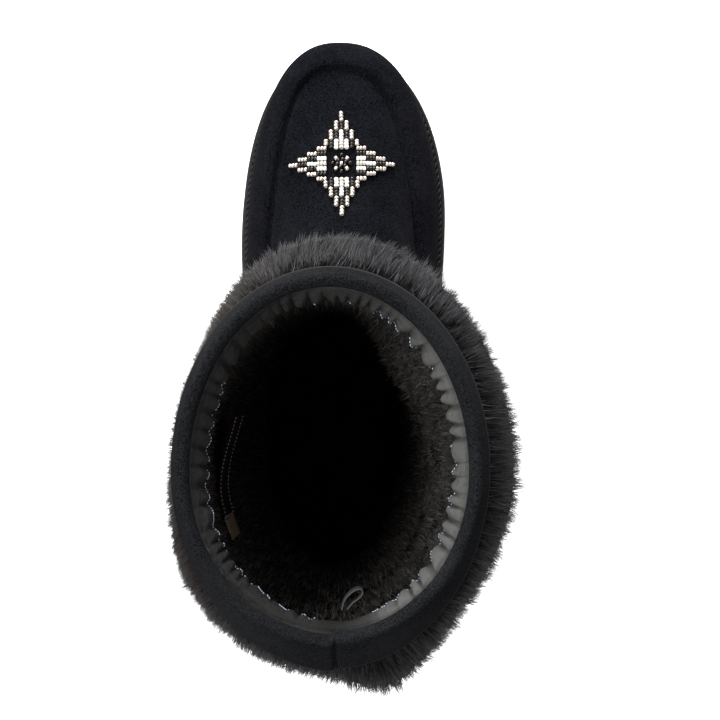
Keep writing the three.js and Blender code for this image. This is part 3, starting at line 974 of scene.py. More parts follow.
class Finishes:
    """Every material of the boot, each built once."""

    def __init__(self) -> None:
        """Builds the shader groups and the materials."""
        nap = nap_group()
        weave = weave_group()
        self.suede = Napped(
            "suede_black", (0.0007, 0.0009, 0.0015), (0.0096, 0.01, 0.0124), rough=1.0,
            specular=0.0, sheen=0.018, sheen_rough=0.4, bump=0.8, bump_depth=0.0005,
            fibre=1750.0, contrast=3.0,
        ).make(nap)
        self.band = Napped(
            "suede_collar", (0.004, 0.0042, 0.0047), (0.018, 0.0186, 0.0206), rough=1.0,
            specular=0.0, sheen=0.008, sheen_rough=0.4, bump=0.7, bump_depth=0.0006,
            raw=(0.035, 0.035, 0.033), fibre=2100.0, contrast=2.6,
        ).make(nap)
        self.rubber = Mottled(
            "sole_rubber", (0.007, 0.007, 0.0075), (0.012, 0.012, 0.013), rough=0.7, specular=0.2,
            bump=0.25, bump_depth=0.0002,
        ).make()
        self.fur = Hairy(
            "long_fur", (0.003, 0.003, 0.0035), (0.07, 0.07, 0.0755), rough=0.5, specular=0.12,
            tip=(0.105, 0.105, 0.112), brown=(0.035, 0.022, 0.015),
        ).make()
        self.hide = Mottled(
            "fur_hide", (0.005, 0.005, 0.0056), (0.012, 0.012, 0.013), rough=0.95, specular=0.1,
            bump=0.4, bump_depth=0.0005, grain=900.0,
        ).make()
        self.plush = Hairy(
            "plush_lining", (0.005, 0.0048, 0.0047), (0.07, 0.067, 0.064), rough=0.6, specular=0.2,
            tip=(0.17, 0.162, 0.154), brown=(0.055, 0.044, 0.036),
        ).make()
        self.lining = Mottled(
            "lining_cloth", (0.004, 0.0038, 0.0037), (0.06, 0.055, 0.05), rough=0.9, specular=0.1,
            bump=0.9, bump_depth=0.0016, cloud=620.0, grain=520.0,
        ).make()
        # The satin takes the binding's stored painted light and shade.
        self.satin = Woven(
            "satin_binding", (0.105, 0.106, 0.102), (0.18, 0.181, 0.173), rough=0.55, specular=0.35,
            bump=0.9, bump_depth=0.0004, warp=3.2, weft=1.1, painted_shade=True, creases=9.0,
        ).make(weave)
        self.ribbon = Woven(
            "loop_ribbon", (0.018, 0.018, 0.02), (0.05, 0.05, 0.054), rough=0.35, specular=0.6,
            bump=0.2, bump_depth=0.0001, warp=1.2, weft=2.4,
        ).make(weave)
        even = dict(bump=0.3, bump_depth=0.0001, warp=2.0, weft=2.0)
        self.label = Woven(
            "label_cloth", (0.006, 0.0025, 0.0035), (0.018, 0.007, 0.009), specular=0.15, **even,
        ).make(weave)
        self.label_tab = Woven(
            "label_tab", (0.16, 0.12, 0.08), (0.26, 0.2, 0.14), rough=0.7, specular=0.2, **even,
        ).make(weave)
        twist = dict(bump=0.5, bump_depth=0.0001, grain=3500.0)
        self.thread = Mottled(
            "seam_thread", (0.012, 0.0125, 0.014), (0.026, 0.027, 0.03), rough=0.6, **twist,
        ).make()
        self.glitter = Mottled(
            "bright_thread", (0.32, 0.4, 0.62), (0.8, 0.86, 0.98), rough=0.3, specular=0.6,
            cloud=1400.0, **twist,
        ).make()
        self.thread_pale = Mottled(
            "label_thread", (0.26, 0.25, 0.27), (0.42, 0.41, 0.44), rough=0.6, cloud=1400.0,
            **twist,
        ).make()
        self.champagne = Mottled(
            "bead_champagne", (0.5, 0.42, 0.36), (0.78, 0.7, 0.62), rough=0.2, specular=0.7,
            metallic=0.55, coat=0.6, cloud=900.0,
        ).make()
        self.white = Mottled(
            "bead_white", (0.82, 0.83, 0.8), (0.95, 0.96, 0.93), rough=0.25, specular=0.6,
            coat=0.5, cloud=500.0,
        ).make()
        self.gunmetal = Mottled(
            "bead_dark", (0.0022, 0.0018, 0.0018), (0.011, 0.007, 0.005), rough=0.12, cloud=900.0,
        ).make()
        self.cream = Mottled(
            "bead_cream", (0.42, 0.38, 0.32), (0.62, 0.58, 0.5), rough=0.25, specular=0.6,
            coat=0.5, cloud=900.0,
        ).make()


# Sub-assemblies


@dataclass
class Part:
    """A sub-assembly of the boot. Each builds, dresses and places its own pieces."""

    finishes: Finishes


@dataclass
class SuedeUpper(Part):
    """The suede foot and shaft: a hollow wall with the apron step, creases and a soft hand."""

    columns: int = 240
    seam_crease: float = 0.6
    band_swell: float = 0.45
    ripple: float = 0.22
    # ring, width in rings, depth in millimetres and turn from the toe in radians
    creases: tuple[tuple[float, float, float, float], ...] = (
        (6.6, 0.2, 0.5, 1.25), (7.3, 0.17, 0.8, 1.75), (8.0, 0.2, 0.7, 2.1),
        (3.2, 0.5, 0.45, 2.0), (2.6, 0.5, 0.4, 0.9),
    )
    crease_wave: float = 0.25
    crease_turn: float = 0.4

    def relief(self, v: Array, angle: Array) -> Array:
        """How far the suede stands out at a place: the apron step, a crease at its seam, the swell
        of the side band beside it, soft creases at the ankle and a slight unevenness.

        Args:
            v: the ring.
            angle: the turn.

        Returns:
            The offset along the normal.
        """
        y = LAST.point(v, angle)[..., 1]
        # the seam's crease and the band's swell fade in towards the middle of the foot
        front = smooth(LAST.station(0.3), LAST.station(0.5), y)
        offset = -LAST.apron_dip(v, y)
        offset = offset - self.seam_crease * bump(v, LAST.apron - 0.1, 0.18) * front
        offset = offset + self.band_swell * bump(v, LAST.apron - 0.7, 0.35) * front
        uneven = wander(angle + 0.8 * v, 3, 9) * np.sin(1.7 * v + 0.6)
        offset = offset + self.ripple * uneven * smooth(1.2, 2.2, v)
        turned = np.abs(wrapped(angle))
        for ring, width, depth, turn in self.creases:
            lean = ring + self.crease_wave * np.cos(3 * angle)
            offset = offset - depth * bump(v, lean, width) * bump(turned, turn, self.crease_turn)
        return offset

    def build(self) -> None:
        """Makes the wall as one closed grid: the outer skin up, then the inner skin down."""
        apron, hem, top = LAST.apron, LAST.fur_start, LAST.top
        outer_v = np.concatenate([
            np.linspace(0, apron - 0.8, 50), np.linspace(apron - 0.74, apron + 0.4, 36),
            np.linspace(apron + 0.5, hem, 34), np.linspace(hem + 0.15, top, 24),
        ])
        inner_v = np.concatenate([
            np.linspace(top, LAST.instep, 16), np.linspace(LAST.instep - 0.5, 0.0, 20),
        ])
        a, v = np.meshgrid(turns(self.columns), outer_v)
        outer = LAST.skin(v, a, self.relief(v, a))
        a, v = np.meshgrid(turns(self.columns), inner_v)
        y = LAST.point(v, a)[..., 1]
        inner = LAST.skin(v, a, -UPPER_WALL - LAST.apron_dip(v, y))
        piece = sleeve("upper_suede", np.concatenate([outer, inner]), self.finishes.suede)
        place(piece, "suede", "upper")


@dataclass
class CupSole(Part):
    """The rubber cup sole, with its stepped side, tread grooves and the thread in its rim."""

    columns: int = 256
    groove_width: float = 5.0
    groove_pitch: float = 16.0
    chevron: float = 7.0
    arch_from: float = 0.32
    arch_to: float = 0.48
    step_share: float = 0.62
    rim_round: float = 0.9
    side_groove: float = 0.35
    channel_depth: float = 0.45
    channel_middle: float = 2.17
    stitch_pitch: float = 3.3
    stitch_length: float = 3.4
    stitch_radius: float = 0.42
    stitch_slant: float = math.radians(28)
    stitch_sag: float = 0.18
    stitch_lift: float = 0.12

    def profile(self) -> Array:
        """The cup's section as offset and height: from the tread's edge up its side, with a groove
        and a step, over a rounded rim with the stitches' channel, and down inside.

        Returns:
            The section's points.
        """
        side, edge = CUP_OUTSIDE, CUP_OUTSIDE + EDGE_STEP
        step = LUG_DEPTH + self.step_share * (CUP_TOP - LUG_DEPTH)
        groove, channel = edge - self.side_groove, CUP_TOP - self.channel_depth
        turn = np.linspace(0, math.pi / 2, 5)
        rim = self.rim_round * np.column_stack([np.cos(turn) - 1, np.sin(turn) - 1])
        return np.vstack([
            [[side - 1.6, 0.0], [side - 1.2, 0.2], [side - 0.8, LUG_DEPTH]],
            [[side + 0.4, LUG_DEPTH + 0.3], [edge, LUG_DEPTH + 1.4], [edge, LUG_DEPTH + 3.0]],
            [[groove, LUG_DEPTH + 3.3], [groove, LUG_DEPTH + 4.1], [edge, LUG_DEPTH + 4.4]],
            [[edge, step], [side + 0.6 * EDGE_STEP, step + 0.5], [side, step + EDGE_STEP]],
            rim + [side, CUP_TOP],
            [[side - 1.5, CUP_TOP], [side - 1.75, channel], [side - 2.6, channel]],
            [[side - 2.85, CUP_TOP], [CLEARANCE + 0.3, CUP_TOP], [CLEARANCE, CUP_TOP - 0.3]],
            [[CLEARANCE, CUP_FLOOR]],
        ])

    def build(self) -> None:
        """Makes the cup as closed loops round the boot, cuts the tread and lays the thread."""
        angle = turns(self.columns)
        loops = [LAST.rim_loop(angle, np.full_like(angle, o), h) for o, h in self.profile()]
        shares = (0.94, 0.85, 0.7, 0.5, 0.25, 0.02)
        bottom = [LAST.shrunk(loops[0], s, 0.0) for s in shares[::-1]]
        top = [LAST.shrunk(loops[-1], s, CUP_FLOOR) for s in shares]
        rows = np.array(bottom + loops + top)
        points = rows.reshape(-1, 3)
        faces = grid_faces(len(rows), self.columns, False, True)
        middle = [len(points), len(points) + 1]
        points = np.vstack([points, rows[0].mean(0), rows[-1].mean(0)])
        j = np.arange(self.columns)
        k = (j + 1) % self.columns
        last = (len(rows) - 1) * self.columns
        low = np.stack([np.full_like(j, middle[0]), k, j], axis=-1)
        high = np.stack([np.full_like(j, middle[1]), last + j, last + k], axis=-1)
        if np.any(outward(points, faces)[0] != faces[0]):
            faces, low, high = faces[:, ::-1], low[:, ::-1], high[:, ::-1]
        piece = new_piece("outsole_rubber", points, [faces, low, high], self.finishes.rubber)
        self.cut(piece)
        place(piece, "rubber", "outsole")
        self.stitch()

    def grooves(self) -> list[tuple[Array, float]]:
        """What is cut from the tread: the arch's free stretch, and chevrons ahead of it and behind.

        Returns:
            Outlines in plan, each with the height up to which it is cut.
        """
        reach = BALL_WIDTH
        back, front = LAST.station(self.arch_from), LAST.station(self.arch_to)
        arch = np.array([[-reach, back], [reach, back], [reach, front], [-reach, front]])
        prisms = [(arch, LUG_DEPTH - 1)]
        half = self.groove_width / 2
        first = math.floor(LAST.station(0) / self.groove_pitch)
        last = math.ceil(LAST.station(1) / self.groove_pitch)
        for i in range(first, last):
            y = (i + 0.5) * self.groove_pitch
            if back - self.groove_width < y < front + self.groove_width:
                continue
            if not LAST.station(0) < y < LAST.station(1):
                continue
            ends = y - 2 * self.chevron * (-1 if y < back else 1)
            run = [(-reach, ends), (-reach / 4, y), (reach / 4, y), (reach, ends)]
            low = [(x, t - half) for x, t in run]
            high = [(x, t + half) for x, t in run[::-1]]
            prisms.append((np.array(low + high), LUG_DEPTH + float(LAST.spring(np.array(y)))))
        return prisms

    def cut(self, piece: Object) -> None:
        """Cuts the tread's grooves and frees the arch from the floor.

        Args:
            piece: the sole.
        """
        below = -20.0
        points, faces, start = [], [], 0
        for outline, height in self.grooves():
            n = len(outline)
            points.append(np.column_stack([outline, np.full(n, below)]))
            points.append(np.column_stack([outline, np.full(n, height)]))
            j = np.arange(n)
            k = (j + 1) % n
            faces += [list(start + row) for row in np.stack([j, k, k + n, j + n], axis=-1)]
            faces += [list(start + j[::-1]), list(start + n + j)]
            start += 2 * n
        mesh = bpy.data.meshes.new("tread_cutter")
        mesh.from_pydata((np.vstack(points) * MM).tolist(), [], faces)
        cutter = bpy.data.objects.new("tread_cutter", mesh)
        bpy.context.scene.collection.objects.link(cutter)
        modifier = piece.modifiers.new("tread", "BOOLEAN")
        modifier.operation = "DIFFERENCE"
        modifier.solver = "EXACT"
        modifier.object = cutter
        bpy.context.view_layer.update()
        evaluated = piece.evaluated_get(bpy.context.evaluated_depsgraph_get())
        cut = bpy.data.meshes.new_from_object(evaluated)
        piece.modifiers.clear()
        piece.data = cut
        bpy.data.objects.remove(cutter)
        cut.materials.clear()
        cut.materials.append(self.finishes.rubber)
        cut.shade_smooth()
        cut.set_sharp_from_angle(angle=math.radians(35.0))

    def stitch(self) -> None:
        """Lays slanted thread stitches in the rim's channel, all the way round."""
        fine = np.linspace(0, TAU, 4000, endpoint=False)
        offset = CUP_OUTSIDE - self.channel_middle
        line = LAST.rim_loop(fine, np.full_like(fine, offset), CUP_TOP)
        gap = np.linalg.norm(np.roll(line, -1, 0) - line, axis=1)
        length = np.concatenate([[0], np.cumsum(gap)])
        count = int(length[-1] / self.stitch_pitch)
        at = (np.arange(count) + 0.5) / count * length[-1]
        angle = np.interp(at, length, np.append(fine, TAU))
        middle = LAST.rim_loop(angle, np.full_like(angle, offset), CUP_TOP + self.stitch_lift)
        ahead = LAST.rim_loop(angle + 0.005, np.full_like(angle, offset), CUP_TOP + self.stitch_lift)
        along = unit(ahead - middle)
        across = np.cross(along, [0.0, 0.0, 1.0])
        way = unit(along * math.cos(self.stitch_slant) + across * math.sin(self.stitch_slant))
        shape = (self.stitch_length, self.stitch_radius, self.stitch_sag)
        place(capsules("sole_stitches", middle, way, shape, self.finishes.thread), "rubber")


def capsules(
    name: str, middle: Array, way: Array, shape: tuple[float, float, float], material: Material
) -> Object:
    """Many short threads in one mesh: round tubes whose ends dip and close to a point.

    A ring at share t of the length has radius r * sqrt(1 - (2t - 1)^6), and drops by sag * (2t - 1)^2.

    Args:
        name: the piece's name.
        middle: the threads' middles.
        way: their directions.
        shape: their length, their radius and how far their ends dip.
        material: the finish.

    Returns:
        The piece.
    """
    length, radius, sag = shape
    around, along = 6, 7
    t = np.linspace(0.0, 1.0, along)
    side = unit(np.cross(way, [0.0, 0.0, 1.0]))
    lift = unit(np.cross(side, way))
    r = radius * np.sqrt(np.clip(1 - (2 * t - 1) ** 6, 0.02, 1))
    centre = middle[:, None, :] + way[:, None, :] * ((t - 0.5) * length)[None, :, None]
    centre = centre - lift[:, None, :] * (sag * (2 * t - 1) ** 2)[None, :, None]
    ring = circles(side, lift, around)[:, None]
    points = centre[:, :, None, :] + ring * r[None, :, None, None]
    count = len(middle)
    base = np.arange(count)[:, None, None] * (around * along)
    quads = (base + grid_faces(along, around, False, True)[None]).reshape(-1, 4)
    ends = np.arange(around)
    caps_low = (base[:, :, 0] + ends[None, ::-1]).reshape(count, around)
    caps_high = (base[:, :, 0] + ends[None, :] + around * (along - 1)).reshape(count, around)
    mesh_points = points.reshape(-1, 3)
    one = mesh_points[: around * along]
    if np.any(outward(one, quads[: around * (along - 1)])[0] != quads[0]):
        quads, caps_low, caps_high = quads[:, ::-1], caps_low[:, ::-1], caps_high[:, ::-1]
    return new_piece(name, mesh_points, [quads, caps_low, caps_high], material)


@dataclass
class Pile:
    """Hairs on the boot's surface, as straight three-sided spikes that gather into tufts.

    Its sizes are in millimetres. out, down and droop are shares of a hair's way, gather and stray
    say how far its tip goes to its tuft's tip and astray, and patchy and uneven how much the tufts
    differ in tone and length. ring_size and mean_radius are the shaft's, and space out the tufts.
    """

    name: str
    count: int
    seed: int
    v_low: float
    v_high: float
    root_offset: float
    length: float
    radius: float
    out: float
    down: float
    droop: float
    tuft_size: float
    gather: float
    inside: bool = False
    v_power: float = 1.0
    stray: float = 0.07
    patchy: float = 0.06
    uneven: float = 0.08
    ring_size: float = 42.0
    mean_radius: float = 62.0
    jitter: float = 0.42
    base_tone: float = 0.08
    tone_power: int = 6

    def roots(self, rng: np.random.Generator) -> tuple[Array, Array]:
        """Random rings and turns, spread evenly over the strip.

        Args:
            rng: the piece's own random numbers.

        Returns:
            The rings and the turns.
        """
        share = rng.random(self.count) ** self.v_power
        v = self.v_low + (self.v_high - self.v_low) * share
        return v, rng.random(self.count) * TAU

    def tuft(self, v: Array, angle: Array, rng: np.random.Generator) -> tuple[Array, Array, Array]:
        """The middle of the tuft that each hair belongs to: the nearest of a jittered lattice.

        Args:
            v: the hairs' rings.
            angle: the hairs' turns.
            rng: the piece's own random numbers.

        Returns:
            Each tuft's ring and turn, and its number.
        """
        height = self.v_high - self.v_low
        rows = max(int(height * self.ring_size / self.tuft_size), 1)
        columns = int(TAU * self.mean_radius / self.tuft_size)
        jitter = rng.uniform(-self.jitter, self.jitter, (rows + 2, columns, 2))
        r = (v - self.v_low) / height * rows - 0.5
        c = angle / TAU * columns
        best = np.full(len(v), 1e9)
        found = [np.zeros(len(v)), np.zeros(len(v)), np.zeros(len(v), int)]
        for dr in (-1, 0, 1):
            for dc in (-1, 0, 1):
                i = np.round(r).astype(int) + dr
                j = np.round(c - 0.5 * (i % 2)).astype(int) + dc
                shift = jitter[np.clip(i + 1, 0, rows + 1), j % columns]
                at_r = i + shift[:, 0]
                at_c = j + 0.5 * (i % 2) + shift[:, 1]
                gap = (r - at_r) ** 2 + (c - at_c) ** 2
                near = gap < best
                best = np.where(near, gap, best)
                found[0] = np.where(near, at_r, found[0])
                found[1] = np.where(near, at_c, found[1])
                found[2] = np.where(near, (i + 1) * columns + j % columns, found[2])
        tuft_v = self.v_low + (found[0] + 0.5) / rows * height
        return np.clip(tuft_v, self.v_low, self.v_high), found[1] / columns * TAU, found[2]

    def build(self, material: Material) -> Object:
        """Makes the hairs. Each goes its tuft's way from its own root, and its tip then moves towards
        its tuft's tip, droops and goes a little astray.

        Args:
            material: the finish.

        Returns:
            The piece.
        """
        rng = np.random.default_rng(self.seed)
        v, angle = self.roots(rng)
        tuft_v, tuft_angle, number = self.tuft(v, angle, rng)
        per_tuft = np.random.default_rng(self.seed + 1).normal(size=(number.max() + 2, 4))
        own = per_tuft[number]
        length = self.length * (1 + self.uneven * own[:, 0]) * rng.uniform(0.72, 1.12, self.count)
        length = length * self.length_share(v, angle)
        root = LAST.skin(v, angle, self.rooted(v, angle))
        direction = self.direction(tuft_v, tuft_angle, own)
        tip_root = LAST.skin(tuft_v, tuft_angle, self.rooted(tuft_v, tuft_angle))
        start = root * (1 - self.gather) + tip_root * self.gather
        tip = start + direction * length[:, None]
        tip[:, 2] -= self.droop * length
        tip += rng.normal(size=(self.count, 3)) * self.stray * self.length
        piece = self.spikes(root, tip, rng, material)
        corners = len(piece.data.vertices) // self.count
        tone = self.base_tone + self.patchy * own[:, 3] + rng.random(self.count) ** self.tone_power
        # each hair's own tone, scaled by painted light and shade that differs round the boot
        tone = np.clip(np.clip(tone, 0, 1) * self.painted_light(v, angle), 0, 1)
        float_attribute(piece, "tone", np.repeat(tone, corners))
        warmth = np.clip(self.warmth(v, angle) * rng.uniform(0.2, 1.0, self.count), 0, 1)
        float_attribute(piece, "warmth", np.repeat(warmth, corners))
        return piece

    def rooted(self, v: Array, angle: Array) -> Array:
        """The offset of the hairs' roots from the boot's outer surface."""
        return np.full_like(v, self.root_offset)

    def length_share(self, v: Array, angle: Array) -> Array:
        """How long the hairs are at a place, as a share of their full length."""
        return np.ones_like(v)

    def swirl(self, v: Array, angle: Array) -> Array:
        """How far the hairs lie towards greater turns, as a share of their way."""
        return np.zeros_like(v)

    def direction(self, v: Array, angle: Array, own: Array) -> Array:
        """The hairs' way: out, down and a little aside, by tuft.

        Args:
            v: the tufts' rings.
            angle: the tufts' turns.
            own: the tufts' random numbers.

        Returns:
            Unit vectors.
        """
        normal, up, around = LAST.frame(v, angle)
        normal = -normal if self.inside else normal
        way = normal * self.out - up * self.down
        aside = self.swirl(v, angle) + 0.16 * own[:, 1]
        way = way + around * aside[:, None] + up * (0.14 * own[:, 2])[:, None]
        return unit(way)

    def spikes(
        self, root: Array, tip: Array, rng: np.random.Generator, material: Material
    ) -> Object:
        """Makes each hair a closed spike: a triangle round its root and a point at its tip.

        Args:
            root: the hairs' roots.
            tip: their tips.
            rng: the piece's own random numbers.
            material: the finish.

        Returns:
            The piece, with length_share 0 at each root and 1 at each tip.
        """
        count = len(root)
        way = unit(tip - root)
        side = unit(np.cross(way, unit(rng.normal(size=(count, 3)))))
        feet = root[:, None] + circles(side, np.cross(way, side), 3) * self.radius
        points = np.concatenate([feet, tip[:, None]], axis=1).reshape(-1, 3)
        base = 4 * np.arange(count)[:, None, None]
        flanks = (base + np.array([[0, 1, 3], [1, 2, 3], [2, 0, 3]])).reshape(-1, 3)
        ends = (base + np.array([[2, 1, 0]])).reshape(-1, 3)
        piece = new_piece(self.name, points, [flanks, ends], material)
        float_attribute(piece, "length_share", np.tile([0.0, 0.0, 0.0, 1.0], count))
        return piece

    def warmth(self, v: Array, angle: Array) -> Array:
        """How brown the hairs are, from 0 to 1."""
        return np.zeros_like(v)

    def painted_light(self, v: Array, angle: Array) -> Array:
        """The painted light and shade on the pale hairs at a place, as a share of their full tone."""
        return np.ones_like(v)


def label_press(v: Array, angle: Array) -> Array:
    """How far the label presses the lining flat: 1 in the middle of its place, 0 away from it.

    Args:
        v: the rings.
        angle: the turns.

    Returns:
        The share at each place.
    """
    degrees = np.degrees(np.mod(angle, TAU))
    beside = smooth(228, 238, degrees) * (1 - smooth(290, 298, degrees))
    return beside * bump(v, LAST.band_edge - 1.0, 0.4)


def lining_thickness(v: Array, angle: Array) -> Array:
    """How thick the lining is: thin in the foot, lumpy on the shaft and bulging at the ankle, most on
    the medial side, with two slanting folds there and a swell near its front.

    Args:
        v: the rings.
        angle: the turns.

    Returns:
        The thickness from the suede's inner face.
    """
    shaft = smooth(LAST.instep - 1, LAST.instep + 0.5, v)
    side = 0.5 + 0.5 * np.cos(angle - math.radians(115))
    bulge = (0.8 + LINING_BULGE * side) * bump(v, LAST.instep + 1.6, 1.3)
    fold = bump(v, LAST.instep + 2.7 + 0.8 * np.sin(angle - 1.2), 0.1)
    fold = fold + bump(v, LAST.instep + 2.1 + 0.7 * np.sin(angle - 1.0), 0.09)
    lumps = LINING_LUMPS * np.abs(wander(3 * angle + 2.5 * v, 61, 9)) * (1 - label_press(v, angle))
    swell = LINING_SWELL * hill(angle, 50, 0.5) * bump(v, LAST.band_edge - 1.0, 0.6)
    more = LINING_ON_SHAFT + bulge + swell + lumps + LINING_FOLDS * side * fold
    return LINING_IN_FOOT + shaft * more


@dataclass
class PlushPile(Pile):
    """The short curled pile of the lining."""

    def rooted(self, v: Array, angle: Array) -> Array:
        """Roots just inside the lining's face."""
        return self.root_offset - UPPER_WALL - lining_thickness(v, angle)

    def length_share(self, v: Array, angle: Array) -> Array:
        """Uneven, and pressed flat under the label."""
        return (1 + 0.25 * wander(3 * angle + 5 * v, 62, 12)) * (1 - 0.85 * label_press(v, angle))

    def warmth(self, v: Array, angle: Array) -> Array:
        """Slightly brown all over."""
        return np.full_like(v, 0.3)

    def painted_light(self, v: Array, angle: Array) -> Array:
        """Painted light and shade on the plush: painted light behind, painted shade on the medial side.
        """
        return 0.62 + 1.5 * hill(angle, 195, 0.65)


@dataclass(frozen=True)
class FurBody:
    """The fur's mass: how thick it is over the boot, and which way it lies."""

    start: float = LAST.fur_start
    end: float = LAST.band_edge - 0.02
    # how far the depths are evened out, in degrees, and the rings over which they end at the band
    spread: float = 6.0
    fade: float = 0.34
    # turn from the toe over the medial side in degrees, depth in millimetres
    depths: tuple[tuple[float, float], ...] = (
        (0, 12.2), (20, 11.8), (40, 10.6), (50, 10.8), (58, 9.8), (75, 10.8), (95, 11.4),
        (108, 11.2), (120, 9.8), (130, 8.2), (138, 8.4), (146, 9.8), (152, 10.8), (158, 13.6),
        (165, 15.2), (171, 11.8), (178, 7.0), (188, 5.2), (205, 6.0), (218, 7.2), (230, 8.8),
        (242, 8.6), (255, 5.6), (270, 3.0), (285, 1.4), (305, 2.2), (325, 6.6), (342, 10.4),
    )

    def depth(self, v: Array, angle: Array) -> Array:
        """How thick the fur's body is: thin at its hem and under the collar band, lumpy between.

        Its full depth is the mean of the table's at the turn and a little before and after it.

        Args:
            v: the rings.
            angle: the turns.

        Returns:
            The offset from the suede.
        """
        degrees, depths = np.array(self.depths).T
        turned = np.degrees(np.mod(angle, TAU))
        shifts = (-self.spread, 0.0, self.spread)
        full = sum(np.interp(turned + s, degrees, depths, period=360.0) for s in shifts) / len(shifts)
        hem = smooth(self.start - 0.3, self.start + 0.6, v)
        collar = 1 - 0.96 * np.clip((v - self.end + self.fade) / self.fade, 0, 1)
        lumps = 0.5 * wander(3 * angle + 4 * v, 21, 8) + 0.35 * wander(angle, 22, 24)
        return CLEARANCE + 0.5 + (full + lumps) * hem * collar

    def surface(self, v: Array, angle: Array) -> Array:
        """The body's outer surface."""
        return LAST.skin(v, angle, self.depth(v, angle))

    def lie(self, v: Array, angle: Array) -> tuple[Array, Array, Array]:
        """The body's outward normal, its way down and its way round.

        Args:
            v: the rings.
            angle: the turns.

        Returns:
            Three arrays of unit vectors.
        """
        dv, da = 0.03, 0.02
        low = np.maximum(v - dv, self.start)
        down = self.surface(low, angle) - self.surface(low + 2 * dv, angle)
        around = self.surface(v, angle + da) - self.surface(v, angle - da)
        return unit(np.cross(around, down)), unit(down), unit(around)


BODY = FurBody()


@dataclass
class FurPile(Pile):
    """The long outer fur, lying down along the fur's body in patches that turn a little aside."""

    def rooted(self, v: Array, angle: Array) -> Array:
        """Roots just inside the fur's body."""
        return np.maximum(BODY.depth(v, angle) + self.root_offset, 0.5)

    def length_share(self, v: Array, angle: Array) -> Array:
        """Uneven round the boot, shorter on the outer side and ahead, with a long tuft at the back.

        Args:
            v: the rings.
            angle: the turns.

        Returns:
            Shares of the full length.
        """
        turned = np.mod(angle, TAU)
        side = 1 - 0.3 * bump(turned, math.radians(295), 0.6) - 0.16 * hill(angle, 0, 0.5)
        uneven = 1 + 0.1 * wander(angle, 11, 25) + 0.06 * wander(2 * angle + 3 * v, 12, 14)
        return side * uneven + 0.3 * hill(angle, 163, 0.07)

    def swirl(self, v: Array, angle: Array) -> Array:
        """Patches that lie to one side or the other."""
        return 0.5 * wander(angle + 0.6 * v, 13, 6) + 0.3 * wander(3 * angle - 1.5 * v, 14, 8)

    def direction(self, v: Array, angle: Array, own: Array) -> Array:
        """The hairs' way: down along the body, a little out of it and aside.

        Args:
            v: the tufts' rings.
            angle: the tufts' turns.
            own: the tufts' random numbers.

        Returns:
            Unit vectors.
        """
        normal, down, around = BODY.lie(v, angle)
        aside = self.swirl(v, angle) + 0.12 * own[:, 1]
        lift = 0.5 * smooth(BODY.end - 0.32, BODY.end - 0.04, v)
        way = normal * (self.out + lift + 0.05 * own[:, 2])[:, None] + down * self.down
        return unit(way + around * aside[:, None])

    def warmth(self, v: Array, angle: Array) -> Array:
        """Brown on the outer front side, and a little on the outer side behind."""
        return 0.9 * bump(wrapped(angle + 1.0), 0.0, 0.55) + 0.7 * hill(angle, 243, 0.3)

    def painted_light(self, v: Array, angle: Array) -> Array:
        """Painted shade on the pale hairs: darkest on the outer side, which the light misses, darker
        ahead and a little behind, palest on the medial side.
        """
        outer, back, ahead = hill(angle, 262, 0.75), hill(angle, 180, 0.6), hill(angle, 0, 0.7)
        return 1 - 0.6 * outer - 0.15 * back - 0.3 * ahead


@dataclass
class FurWrap(Part):
    """The fur on the shaft: a dark body and layers of fine hairs."""

    strands: int = 42000
    columns: int = 180
    rows: int = 38
    # name, seed, length, radius, share out of the lie, share gathered in tufts
    layers: tuple[tuple[str, int, float, float, float, float], ...] = (
        ("fur_under", 5, 7.0, 0.22, 0.2, 0.3),
        ("fur_middle", 6, 8.2, 0.18, 0.24, 0.36),
        ("fur_guard", 7, 9.4, 0.15, 0.28, 0.42),
    )

    def build(self) -> None:
        """Makes the body as a closed sleeve and sets the hairs in it."""
        a, v = np.meshgrid(turns(self.columns), np.linspace(BODY.start, BODY.end, self.rows))
        inner = LAST.skin(v, a, CLEARANCE)[::-1]
        body = sleeve("fur_body", np.concatenate([BODY.surface(v, a), inner]), self.finishes.hide)
        place(body, "fur", "fur_wrap")
        for name, seed, length, radius, out, gather in self.layers:
            layer = FurPile(
                name, self.strands, seed, BODY.start, BODY.end, root_offset=-0.8, length=length,
                radius=radius, out=out, down=1.0, droop=0.16, tuft_size=4.6, gather=gather,
                v_power=0.5,
            )
            place(layer.build(self.finishes.fur), "fur")


